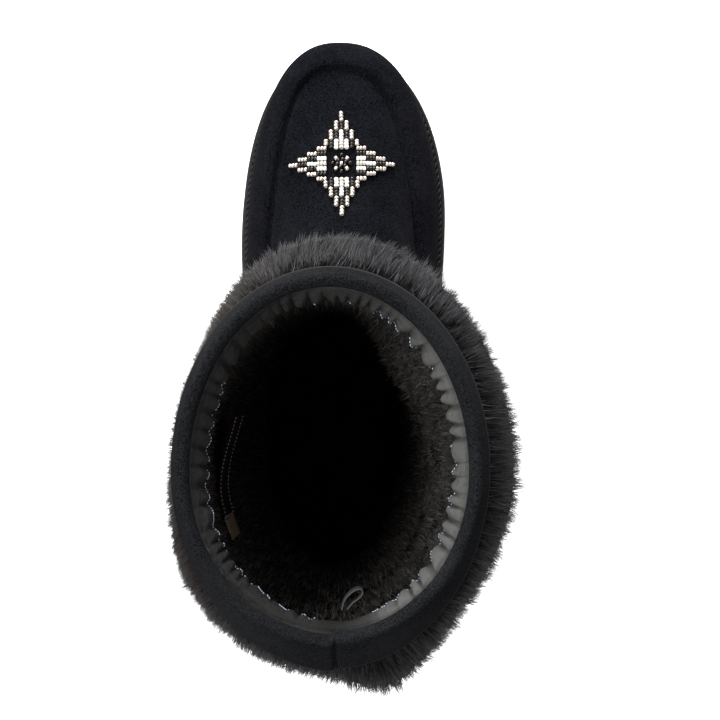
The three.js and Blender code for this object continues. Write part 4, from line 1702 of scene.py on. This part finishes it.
@dataclass
class CollarBand(Part):
    """The suede band over the top edge, its raw lower edge and its lapped seam at the back."""

    columns: int = 420
    seam_turn: float = math.pi - 0.02
    taper: float = 0.9
    lip: float = 0.4
    ripple: float = 0.22
    turn_in: float = 0.25

    def build(self) -> None:
        """Makes the band as one closed section carried round the collar."""
        section = self.section()
        a, v = np.meshgrid(turns(self.columns), section[:, 0])
        outer = (section[:, 1] > CLEARANCE + 0.2) | (section[:, 2] > CLEARANCE + 0.1)
        uneven = self.ripple * wander(a, 31, 14) * (1 - bump(v, LAST.band_edge, 0.1))
        offset = section[:, 1:2] + np.where(outer[:, None], self.lap(a) + uneven, 0.0)
        points = LAST.skin(v, a, offset)
        points[..., 2] += section[:, 2:3]
        piece = sleeve("collar_band_suede", points, self.finishes.band)
        raw = np.zeros(len(section))
        raw[1:5] = (0.8, 1.0, 1.0, 0.2)
        float_attribute(piece, "raw_edge", np.repeat(raw, self.columns))
        place(piece, "suede", "collar_band")

    def section(self) -> Array:
        """The band's section: up its outside from the raw edge, over the top edge as half an
        ellipse, down inside as the facing and back under the band along the upper.

        Returns:
            Points as ring, offset from the suede and rise.
        """
        inside = -UPPER_WALL - CLEARANCE
        out = CLEARANCE + BAND_THICKNESS
        edge, top = LAST.band_edge, LAST.top
        foot = top - self.turn_in
        crown = out - self.taper
        middle = (crown + inside - FACING_THICKNESS) / 2
        half = (crown - inside + FACING_THICKNESS) / 2
        rise = np.linspace(edge + 0.06, top, 14)
        outside = [[w, out - self.taper * smooth(top - 0.5, top, w), 0.0] for w in rise]
        turn = np.linspace(0.1, math.pi - 0.35, 14)
        return np.array([
            [edge, CLEARANCE, 0.0], [edge, out - 0.2, -0.15], [edge, out + self.lip - 0.05, 0.0],
            [edge + 0.03, out + self.lip, 0.0], *outside,
            *([top, middle + half * math.cos(s), BAND_ROLL * math.sin(s)] for s in turn),
            [foot, inside - FACING_THICKNESS, 0.0], [foot, inside, 0.0], [top, inside, 0.0],
            [top, inside, CLEARANCE], [top, CLEARANCE, CLEARANCE], [top, CLEARANCE, 0.0],
            [top - 0.6, CLEARANCE, 0.0],
        ])

    def lap(self, angle: Array) -> Array:
        """The lapped seam: one end lies 0.6 over the other, with a narrow groove between.

        Args:
            angle: the turns.

        Returns:
            How far the suede stands out there.
        """
        gap = wrapped(angle - self.seam_turn)
        over = 0.6 * smooth(-0.014, 0.004, gap) * (1 - smooth(0.0, 0.35, gap))
        return over - 1.2 * bump(gap, -0.01, 0.014)


@dataclass
class Binding(Part):
    """The gathered satin casing inside the collar, with its bright thread."""

    columns: int = 780
    gathers: int = 60
    belly: float = 4.9
    fall: float = 12.5
    puff_depth: float = 1.7
    flat_from: float = math.pi - 0.3
    flat_to: float = math.pi + 0.03
    mean_radius: float = 52.0
    stitches: int = 330
    missing: float = 0.16
    stitch_shape: tuple[float, float, float] = (0.85, 0.12, 0.04)
    # stretches of bright thread, in degrees from the toe over the medial side
    runs: tuple[tuple[float, float], ...] = (
        (9, 12), (22, 36), (40, 46), (53, 56), (80, 83), (87, 94), (99, 106), (115, 121),
        (124, 129), (135, 144), (147, 152), (154, 161), (187, 193), (199, 204), (208, 219),
        (223, 229), (236, 242), (243, 271), (273, 301), (352, 355),
    )

    def plain(self, angle: Array) -> Array:
        """The casing's gathering: 1 where it is gathered, 0 on its plain stretch at the back.

        Args:
            angle: the turns.

        Returns:
            The share at each turn.
        """
        gap = np.mod(angle, TAU)
        flat = smooth(self.flat_from - 0.1, self.flat_from + 0.02, gap)
        flat = flat * (1 - smooth(self.flat_to - 0.02, self.flat_to + 0.12, gap))
        return 1 - flat

    def puff(self, angle: Array, t: Array) -> Array:
        """The gathers: rounded puffs with narrow valleys, |sin| of a turn that speeds up and slows
        and slants on its way down.

        Args:
            angle: the turns.
            t: the way down the face.

        Returns:
            The height of the gathers, 0 in a valley and 1 on a puff.
        """
        uneven = 3.2 * wander(angle, 41, 10) + 1.8 * wander(2 * angle, 42, 15)
        phase = self.gathers / 2 * angle + uneven
        slant = 1.6 * wander(angle, 45, 16) * (t - 0.3)
        fine = 0.3 * np.sin(2 * phase + 3 * t + 4 * wander(angle, 49, 12))
        slack = 0.7 + 0.3 * smooth(-0.5, 0.5, wander(angle, 48, 6) + 0.8 * np.sin(angle))
        return 1 - slack * (1 - np.abs(np.sin(phase + slant)) ** 0.75 + fine)

    def fade(self, angle: Array) -> Array:
        """Painted light and shade on the satin: palest on the medial side, which the lamps light,
        darkest on the outer side, which they leave in shade.

        Args:
            angle: the turns.

        Returns:
            The share at each turn.
        """
        turned = wrapped(angle - math.radians(95))
        shade = 0.11 * hill(angle, 215, 0.55)
        return 0.25 - shade + 0.8 * smooth(-1.5, -0.4, turned) * (1 - smooth(0.85, 1.5, turned))

    def face(self, angle: Array, t: Array) -> Array:
        """The casing's visible face: from under the band's turned-in edge (t = 0) over a rounded
        belly to its lower seam (t = 1).

        Its upper part hangs from the top edge's ring, so it shows all round, and its lower part
        goes back to the wall.

        Args:
            angle: the turns.
            t: the way down.

        Returns:
            Points in millimetres.
        """
        round_out = np.sin(np.pi * np.clip(0.04 + 0.94 * t, 0, 1)) ** 0.6
        gathered = self.plain(angle)
        puffs = self.puff(angle, t)
        swell = 1 - 0.12 * wander(angle, 46, 7) + 0.1 * wander(angle, 47, 30)
        swell = swell - 0.5 * bump(wrapped(angle - math.pi + 0.15), 0.0, 0.6)
        out = self.belly * swell * round_out + self.puff_depth * gathered * (puffs - 0.75) * round_out
        top = LAST.skin(np.full_like(t, LAST.top), angle, -UPPER_WALL - CLEARANCE - out)
        drop = BINDING_DROP - 0.4 + self.fall * t + 1.3 * gathered * (1 - puffs) * np.sin(np.pi * t)
        top[..., 2] = BOOT_HEIGHT - drop + 0.3 * gathered * wander(angle, 44, 22)
        wall = LAST.skin(LAST.top - 0.25 - 0.7 * t, angle, -UPPER_WALL - CLEARANCE - 0.4 * out)
        back = smooth(0.6, 1.0, t)[..., None]
        return top * (1 - back) + wall * back

    def build(self) -> None:
        """Makes the casing as a closed section carried round, and its bright thread."""
        angle = turns(self.columns)
        down = np.linspace(0, 1, 22)
        up = np.linspace(LAST.band_edge + 0.05, LAST.top - 0.26, 4)
        a, v = np.meshgrid(angle, up)
        back = LAST.skin(v, a, -UPPER_WALL - 0.6 * CLEARANCE)
        a, t = np.meshgrid(angle, down)
        piece = sleeve("binding_satin", np.concatenate([self.face(a, t), back]), self.finishes.satin)
        length = np.tile(angle * self.mean_radius, len(down) + len(up))
        uv_map(piece, length, np.repeat(np.concatenate([down * FACE_HEIGHT, up]), self.columns))
        gathered = self.plain(a)
        # Painted shade: darker in the valleys between the puffs, times the painted light and shade
        # round the turn.
        valley = 0.4 + 0.6 * smooth(0.1, 0.8, self.puff(a, t)) * gathered + 0.1 * (1 - gathered)
        tone = np.append((valley * self.fade(a)).ravel(), np.ones(back[..., 0].size))
        float_attribute(piece, "tone", np.clip(tone, 0, 1))
        place(piece, "satin", "collar_binding")
        self.thread()

    def thread(self) -> None:
        """Lays bright stitches along the casing's lower seam, in broken wavy runs."""
        angle = (np.arange(self.stitches) + 0.5) / self.stitches * TAU
        rng = np.random.default_rng(51)
        degrees = np.degrees(angle)
        shown = np.zeros(self.stitches, bool)
        for start, end in self.runs:
            shown |= (degrees > start) & (degrees < end)
        shown &= rng.random(self.stitches) < 1 - self.missing
        angle = angle[shown]
        where = 0.48 + 0.14 * wander(angle, 53, 34)
        step = 0.42 * TAU / self.stitches
        centre = LAST.point(np.full_like(angle, LAST.top), angle).mean(axis=0)
        ends = []
        for turn in (-step, step):
            p = self.face(angle + turn, where + 0.02 * np.sign(turn))
            inward = unit((centre - p) * [1.0, 1.0, 0.0])
            ends.append(p + 0.3 * inward + [0.0, 0.0, 0.25])
        middle, way = (ends[0] + ends[1]) / 2, unit(ends[1] - ends[0])
        piece = capsules("binding_thread", middle, way, self.stitch_shape, self.finishes.glitter)
        place(piece, "satin")


@dataclass
class Lining(Part):
    """The plush lining from the binding to the toe, its pile, the footbed and the woven label.

    The label's places are along the boot, from the heel's middle.
    """

    columns: int = 140
    footbed_columns: int = 160
    footbed_height: float = 5.0
    heel_grip: float = 2.41
    label_front: float = 49.5
    label_back: float = 6.5
    tab_back: float = -3.0
    dots: int = 26
    dot_shape: tuple[float, float, float] = (0.75, 0.2, 0.02)

    def build(self) -> None:
        """Makes the lining's cloth, its pile and the footbed."""
        seam = LAST.apron + 1
        rows = np.concatenate([
            np.linspace(0.62, seam, 16), np.linspace(seam + 0.4, LAST.band_edge + 0.02, 30),
        ])
        a, v = np.meshgrid(turns(self.columns), rows)
        wall = UPPER_WALL + LAST.apron_dip(v, LAST.point(v, a)[..., 1])
        back = LAST.skin(v, a, -wall - 0.25)
        face = LAST.skin(v, a, -wall - lining_thickness(v, a))[::-1]
        place(sleeve("lining_cloth", np.concatenate([back, face]), self.finishes.lining), "footbed")
        pile = PlushPile(
            "lining_pile", 36000, 8, LAST.instep - 0.6, LAST.band_edge + 0.3, root_offset=0.4,
            length=2.7, radius=0.36, out=0.85, down=0.3, droop=0.1, tuft_size=2.6, gather=0.6,
            inside=True, v_power=0.7, stray=0.45, patchy=0.22,
        )
        place(pile.build(self.finishes.plush), "footbed")
        self.footbed()
        self.label()

    def footbed(self) -> None:
        """Makes the footbed as loops shrunk towards the middle, with a rounded upper edge."""
        angle = turns(self.footbed_columns)
        low = CUP_FLOOR + 2 * CLEARANCE
        high = low + self.footbed_height
        edge = -UPPER_WALL - 2 * CLEARANCE - self.heel_grip
        section = (edge, low), (edge, high - 1.5), (edge - 0.5, high - 0.5), (edge - 1.5, high)
        rows = [LAST.rim_loop(angle, np.full_like(angle, o), h) for o, h in section]
        shares = (0.9, 0.75, 0.55, 0.3, 0.03)
        bottom = [LAST.shrunk(rows[0], s, low) for s in shares[::-1]]
        top = [LAST.shrunk(rows[-1], s, high) for s in shares]
        piece = capped("footbed", np.array(bottom + rows + top), self.finishes.hide)
        place(piece, "footbed", "insole")

    def label(self) -> None:
        """Sews a bare woven label on the lining's outer side: a long strip with two dotted rows and
        a paler tab at its rear end."""
        for name, start, end, material in (
            ("label_strip", self.label_front, self.label_back, self.finishes.label),
            ("label_tab", self.label_back, self.tab_back, self.finishes.label_tab),
        ):
            s, c = np.meshgrid(np.linspace(start, end, 24), np.linspace(0, 1, 8))
            place(self.strip(name, s, c, material), "satin")
        y = np.linspace(self.label_front - 1, self.label_back, self.dots)
        for name, share in (("label_dots_low", 0.08), ("label_dots_high", 0.92)):
            across = np.full(self.dots, share)
            middle = self.surface(y, across, 0.5)
            way = unit(self.surface(y - 0.5, across, 0.5) - middle)
            place(capsules(name, middle, way, self.dot_shape, self.finishes.thread_pale), "satin")

    def surface(self, y: Array, across: Array, lift: float) -> Array:
        """A place on the label: on the outer side's pile, its front end standing off the wall.

        Args:
            y: the place along.
            across: the share of its height, from its lower edge.
            lift: how far it stands off the label's back.

        Returns:
            Points in millimetres.
        """
        v = LAST.band_edge - 1.2 + 0.4 * across
        cosine = np.clip((y - SHAFT_CENTRE) / (0.5 * SHAFT_LENGTH), -1, 1)
        stand = 8.8 + 5.2 * smooth(12.0, 50.0, y) + 1.0 * (1 - across)
        return LAST.skin(v, TAU - np.arccos(cosine), -stand - lift)

    def strip(self, name: str, s: Array, c: Array, material: Material) -> Object:
        """A thin closed strip over the label's surface.

        Args:
            name: the piece's name.
            s: places along, on a grid.
            c: shares across, on a grid.
            material: the finish.

        Returns:
            The piece, with its UV map.
        """
        ring = np.concatenate([self.surface(s, c, 0.3), self.surface(s, c, 0.0)[::-1]])
        points = ring.reshape(-1, 3)
        rows, columns = ring.shape[:2]
        quads = grid_faces(rows, columns, True, False)
        i = np.arange(rows // 2 - 1)
        first = np.stack([i, i + 1, rows - 2 - i, rows - 1 - i], axis=-1) * columns
        last = first[:, ::-1] + columns - 1
        quads = outward(points, np.concatenate([quads, first, last]))
        piece = new_piece(name, points, quads, material)
        uv_map(piece, np.concatenate([s, s[::-1]]), 12.0 * np.concatenate([c, c[::-1]]))
        return piece


@dataclass
class PullLoop(Part):
    """The narrow ribbon loop at the back of the collar."""

    reach: float = 7.0
    width: float = 5.0
    thickness: float = 0.5
    section_points: int = 16
    line_points: int = 120
    # inward from the binding and across, as shares of the reach
    run: tuple[tuple[float, float], ...] = (
        (-0.12, -0.02), (0.34, 0.11), (0.68, 0.39), (0.89, 0.74), (0.85, 0.97),
        (0.66, 0.97), (0.45, 0.8), (0.24, 0.51), (-0.08, 0.24),
    )

    def build(self) -> None:
        """Carries a thin rounded section along a smooth curve through the run's points."""
        face = -UPPER_WALL - 2 * CLEARANCE - BINDING_THICKNESS - 2.0
        foot = LAST.skin(np.array([LAST.top]), np.array([math.pi - 0.1]), face)[0]
        foot[2] = BOOT_HEIGHT - LOOP_DROP
        run = np.array(self.run) * self.reach
        knots = foot + np.column_stack([run[:, 1], run[:, 0], np.zeros(len(run))])
        line = smooth_curve(knots, self.line_points)
        broad = unit(np.array([0.05, -0.04, 1.0]))
        thick = unit(np.cross(unit(np.gradient(line, axis=0)), broad))
        turn = turns(self.section_points)
        w = np.sign(np.cos(turn)) * np.abs(np.cos(turn)) ** 0.35 * self.width / 2
        h = np.sign(np.sin(turn)) * np.abs(np.sin(turn)) ** 0.8 * self.thickness / 2
        ring = line[:, None] + broad * w[None, :, None] + thick[:, None] * h[None, :, None]
        piece = capped("pull_loop_ribbon", ring, self.finishes.ribbon)
        along = np.repeat(np.linspace(0, 40, len(line)), self.section_points)
        uv_map(piece, along, np.tile(w, len(line)))
        place(piece, "satin", "pull_loop")


def smooth_curve(knots: Array, count: int) -> Array:
    """Points on a Catmull-Rom curve through the knots: each stretch is a cubic whose slope at a knot
    is half the way from the knot before to the knot after.

    Args:
        knots: the points to pass through.
        count: how many points to return.

    Returns:
        The curve's points.
    """
    padded = np.vstack([2 * knots[0] - knots[1], knots, 2 * knots[-1] - knots[-2]])
    t = np.linspace(0, len(knots) - 1 - 1e-9, count)
    i = np.floor(t).astype(int)
    f = (t - i)[:, None]
    p0, p1, p2, p3 = (padded[i + k] for k in range(4))
    square, cube = 2 * p0 - 5 * p1 + 4 * p2 - p3, 3 * p1 - p0 - 3 * p2 + p3
    return 0.5 * (2 * p1 + (p2 - p0) * f + square * f**2 + cube * f**3)


class Bead(Enum):
    """The four kinds of seed bead on the vamp."""

    CHAMPAGNE = 0
    DARK = 1
    WHITE = 2
    CREAM = 3


@dataclass
class BeadStar(Part):
    """The four-armed star of seed beads and the rosette in its open middle."""

    lane_pitch: float = 2.42
    bead_pitch: float = 1.49
    bead_width: float = 2.2
    bead_length: float = 1.42
    square: float = 6.95
    stretch: float = 1.05
    cell: int = 3
    lanes: int = 3
    turn: float = math.radians(0.3)
    stray: float = 0.06
    tilt: float = 0.05
    uneven: float = 0.03
    hole: float = 0.22

    def arm(self) -> tuple[Array, Array]:
        """One arm's beads before it is turned: places across and along, and the kind of each.

        The middle lane has four cells of three beads and each lane outwards one cell less. From the
        tip inwards a lane's cells are champagne, dark, white, and cream where a fourth is left.

        Returns:
            Places (across, along) and kinds.
        """
        order = (Bead.CHAMPAGNE, Bead.DARK, Bead.WHITE, Bead.CREAM)
        places, kinds = [], []
        for lane in range(-self.lanes, self.lanes + 1):
            cells = self.lanes + 1 - abs(lane)
            for k in range(cells * self.cell):
                places.append((lane * self.lane_pitch, self.square + (k + 0.5) * self.bead_pitch))
                kinds.append(order[cells - 1 - k // self.cell].value)
        return np.array(places), np.array(kinds)

    def rosette(self) -> tuple[Array, Array, Array]:
        """The rosette: one champagne bead, a ring of dark ones, champagne ones on the diagonals and
        dark ones between them.

        Returns:
            Places, directions and kinds.
        """
        places, ways, kinds = [(0.0, 0.0)], [0.0], [Bead.CHAMPAGNE.value]
        for radius, count, shift, kind in (
            (2.0, 6, 0.3, Bead.DARK),
            (3.6, 4, math.pi / 4, Bead.CHAMPAGNE),
            (4.1, 4, 0.0, Bead.DARK),
        ):
            for k in range(count):
                a = shift + k / count * TAU
                places.append((radius * math.cos(a), radius * math.sin(a)))
                ways.append(a + math.pi / 2)
                kinds.append(kind.value)
        return np.array(places), np.array(ways), np.array(kinds)

    def build(self) -> None:
        """Strings the arms and the rosette and lays each bead on the vamp."""
        places, kinds = self.arm()
        across, along, ways, all_kinds = [], [], [], []
        # the outermost lanes' lowest beads would overlap at the corners, so two arms leave them out
        corner = np.abs(places[:, 0]) > (self.lanes - 0.5) * self.lane_pitch
        corner &= places[:, 1] < self.square + self.bead_pitch
        for quarter in range(4):
            a = quarter * math.pi / 2 + self.turn
            kept = ~corner if quarter % 2 == 0 else np.ones(len(places), bool)
            x, y = places[kept, 0], places[kept, 1]
            across.append(x * math.cos(a) - y * math.sin(a))
            along.append((x * math.sin(a) + y * math.cos(a)) * self.stretch)
            ways.append(np.full(len(x), a + math.pi / 2))
            all_kinds.append(kinds[kept])
        middle = np.column_stack([np.concatenate(across), np.concatenate(along)])
        star = (middle, np.concatenate(ways), np.concatenate(all_kinds))
        self.lay("bead_star", star, 71)
        self.lay("bead_rosette", self.rosette(), 72)

    def lay(self, node: str, chart: tuple[Array, Array, Array], seed: int) -> None:
        """Lays beads on the vamp as one mesh of small barrels with a hole.

        A bead is a rounded oblong section turned about its thread: radius from the hole to half the
        width, length along the thread.

        Args:
            node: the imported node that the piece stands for.
            chart: the beads' places from the star's middle, across and along; their threads'
                directions in plan; and their kinds.
            seed: picks the small differences.
        """
        middle, way, kinds = chart
        rng = np.random.default_rng(seed)
        count = len(kinds)
        x = middle[:, 0] + rng.normal(0, self.stray, count)
        y = STAR_CENTRE_Y + middle[:, 1] + rng.normal(0, self.stray, count)
        d = 0.4
        slope_x = LAST.vamp(x + d, y) - LAST.vamp(x - d, y)
        slope_y = LAST.vamp(x, y + d) - LAST.vamp(x, y - d)
        normal = unit(np.cross(slope_x, slope_y))
        turn = way + rng.normal(0, self.tilt, count)
        thread = np.stack([np.cos(turn), np.sin(turn), np.zeros(count)], axis=-1)
        thread = unit(thread - normal * np.sum(thread * normal, axis=-1, keepdims=True))
        side = np.cross(normal, thread)
        size = rng.normal(1.0, self.uneven, count)
        lift = 0.5 * self.bead_width * size + 0.15
        centre = LAST.vamp(x, y) + normal * lift[:, None]
        rings, steps = 12, 10
        phi = turns(steps)
        hole = self.hole * self.bead_width
        mid, half = (self.bead_width / 2 + hole) / 2, (self.bead_width / 2 - hole) / 2
        r = mid + half * np.cos(phi)
        h = self.bead_length / 2 * np.sign(np.sin(phi)) * np.abs(np.sin(phi)) ** 0.8
        radial = circles(side, normal, rings)[:, :, None]
        wide = radial * (r[None, None, :, None] * size[:, None, None, None])
        points = centre[:, None, None] + wide + thread[:, None, None] * h[None, None, :, None]
        faces_one = grid_faces(rings, steps, True, True)
        one = points[0].reshape(-1, 3)
        faces_one = outward(one - one.mean(0), faces_one)
        base_index = np.arange(count)[:, None, None] * (rings * steps)
        faces = (base_index + faces_one[None]).reshape(-1, 4)
        glass = self.finishes
        materials = [glass.champagne, glass.gunmetal, glass.white, glass.cream]
        piece = new_piece(node + "_beads", points.reshape(-1, 3), faces, materials)
        index = np.repeat(kinds, len(faces_one)).astype(np.int32)
        piece.data.polygons.foreach_set("material_index", index)
        place(piece, "beads", node)


# Camera, light and stage


@dataclass(frozen=True)
class Lamp:
    """One round soft lamp: its place and size in metres and its power in watts."""

    name: str
    spot: tuple[float, float, float]
    size: float
    power: float


@dataclass
class Studio:
    """The photograph's camera, straight above the boot, with soft light on a pale floor."""

    height: float = 730.0
    focal_pixels: float = 1399.0
    frame_pixels: float = 720.0
    across: float = 8.3
    along: float = 67.0
    roll: float = math.radians(0.3)
    floor_reach: float = 4000.0
    floor_drop: float = 0.2
    sky: float = 0.5
    seen_sky: float = 1.0
    aim: tuple[float, float, float] = (0.0, 0.08, 0.15)
    lights: tuple[Lamp, ...] = (
        Lamp("key", (-0.85, 0.8, 1.45), 0.7, 18.0),
        Lamp("side", (-1.05, -0.25, 1.4), 0.7, 18.0),
        Lamp("front", (0.0, 1.8, 0.4), 1.0, 80.0),
        Lamp("fill", (1.1, -1.1, 1.2), 1.6, 5.0),
    )

    def build(self) -> None:
        """Sets up the camera, the floor, the lamps and the sky."""
        scene = bpy.context.scene
        data = bpy.data.cameras.new("camera")
        data.sensor_width = 36.0
        data.lens = 36.0 * self.focal_pixels / self.frame_pixels
        data.clip_start = 0.01
        data.clip_end = 20.0
        camera = bpy.data.objects.new("camera", data)
        camera.location = Vector((self.across, self.along, self.height)) * MM
        camera.rotation_euler = (0.0, 0.0, -self.roll)
        scene.collection.objects.link(camera)
        scene.camera = camera
        self.floor()
        self.lamps()
        scene.view_settings.view_transform = "Standard"
        scene.view_settings.look = "None"

    def floor(self) -> None:
        """Makes the pale floor, which glows a little and throws no light on the boot."""
        corners = self.floor_reach * np.array([[-1, -1, 0], [1, -1, 0], [1, 1, 0], [-1, 1, 0]])
        white = Mottled(
            "floor_white", (0.9, 0.9, 0.9), (0.92, 0.92, 0.92), rough=0.9, specular=0.1, cloud=3.0,
        ).make()
        shader = white.node_tree.nodes["Principled BSDF"]
        shader.inputs["Emission Color"].default_value = (1.0, 1.0, 1.0, 1.0)
        shader.inputs["Emission Strength"].default_value = 0.6
        floor = new_piece("floor", corners, np.array([[0, 1, 2, 3]]), white)
        floor.location.z = -self.floor_drop * MM
        floor.visible_diffuse = False

    def lamps(self) -> None:
        """Hangs soft lamps on the left, far ahead and behind, and lights the sky."""
        for light in self.lights:
            data = bpy.data.lights.new(light.name, "AREA")
            data.shape = "DISK"
            data.size = light.size
            data.energy = light.power
            lamp = bpy.data.objects.new(light.name, data)
            lamp.location = light.spot
            way = Vector(self.aim) - Vector(light.spot)
            lamp.rotation_euler = way.to_track_quat("-Z", "Y").to_euler()
            bpy.context.scene.collection.objects.link(lamp)
        world = bpy.data.worlds.new("sky")
        world.use_nodes = True
        back = world.node_tree.nodes["Background"]
        back.inputs["Color"].default_value = (1.0, 1.0, 1.0, 1.0)
        n = Nodes(world.node_tree)
        seen = n.add("LightPath").outputs["Is Camera Ray"]
        n.join(n.span(seen, 0.0, 1.0, self.sky, self.seen_sky), back.inputs["Strength"])
        bpy.context.scene.world = world


def main() -> None:
    """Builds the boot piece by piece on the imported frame."""
    logging.basicConfig(level=logging.INFO, format="%(name)s %(message)s")
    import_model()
    Studio().build()
    finishes = Finishes()
    for part in (SuedeUpper, CupSole, CollarBand, Binding, Lining, PullLoop, BeadStar, FurWrap):
        part(finishes).build()


if __name__ == "__main__":
    main()
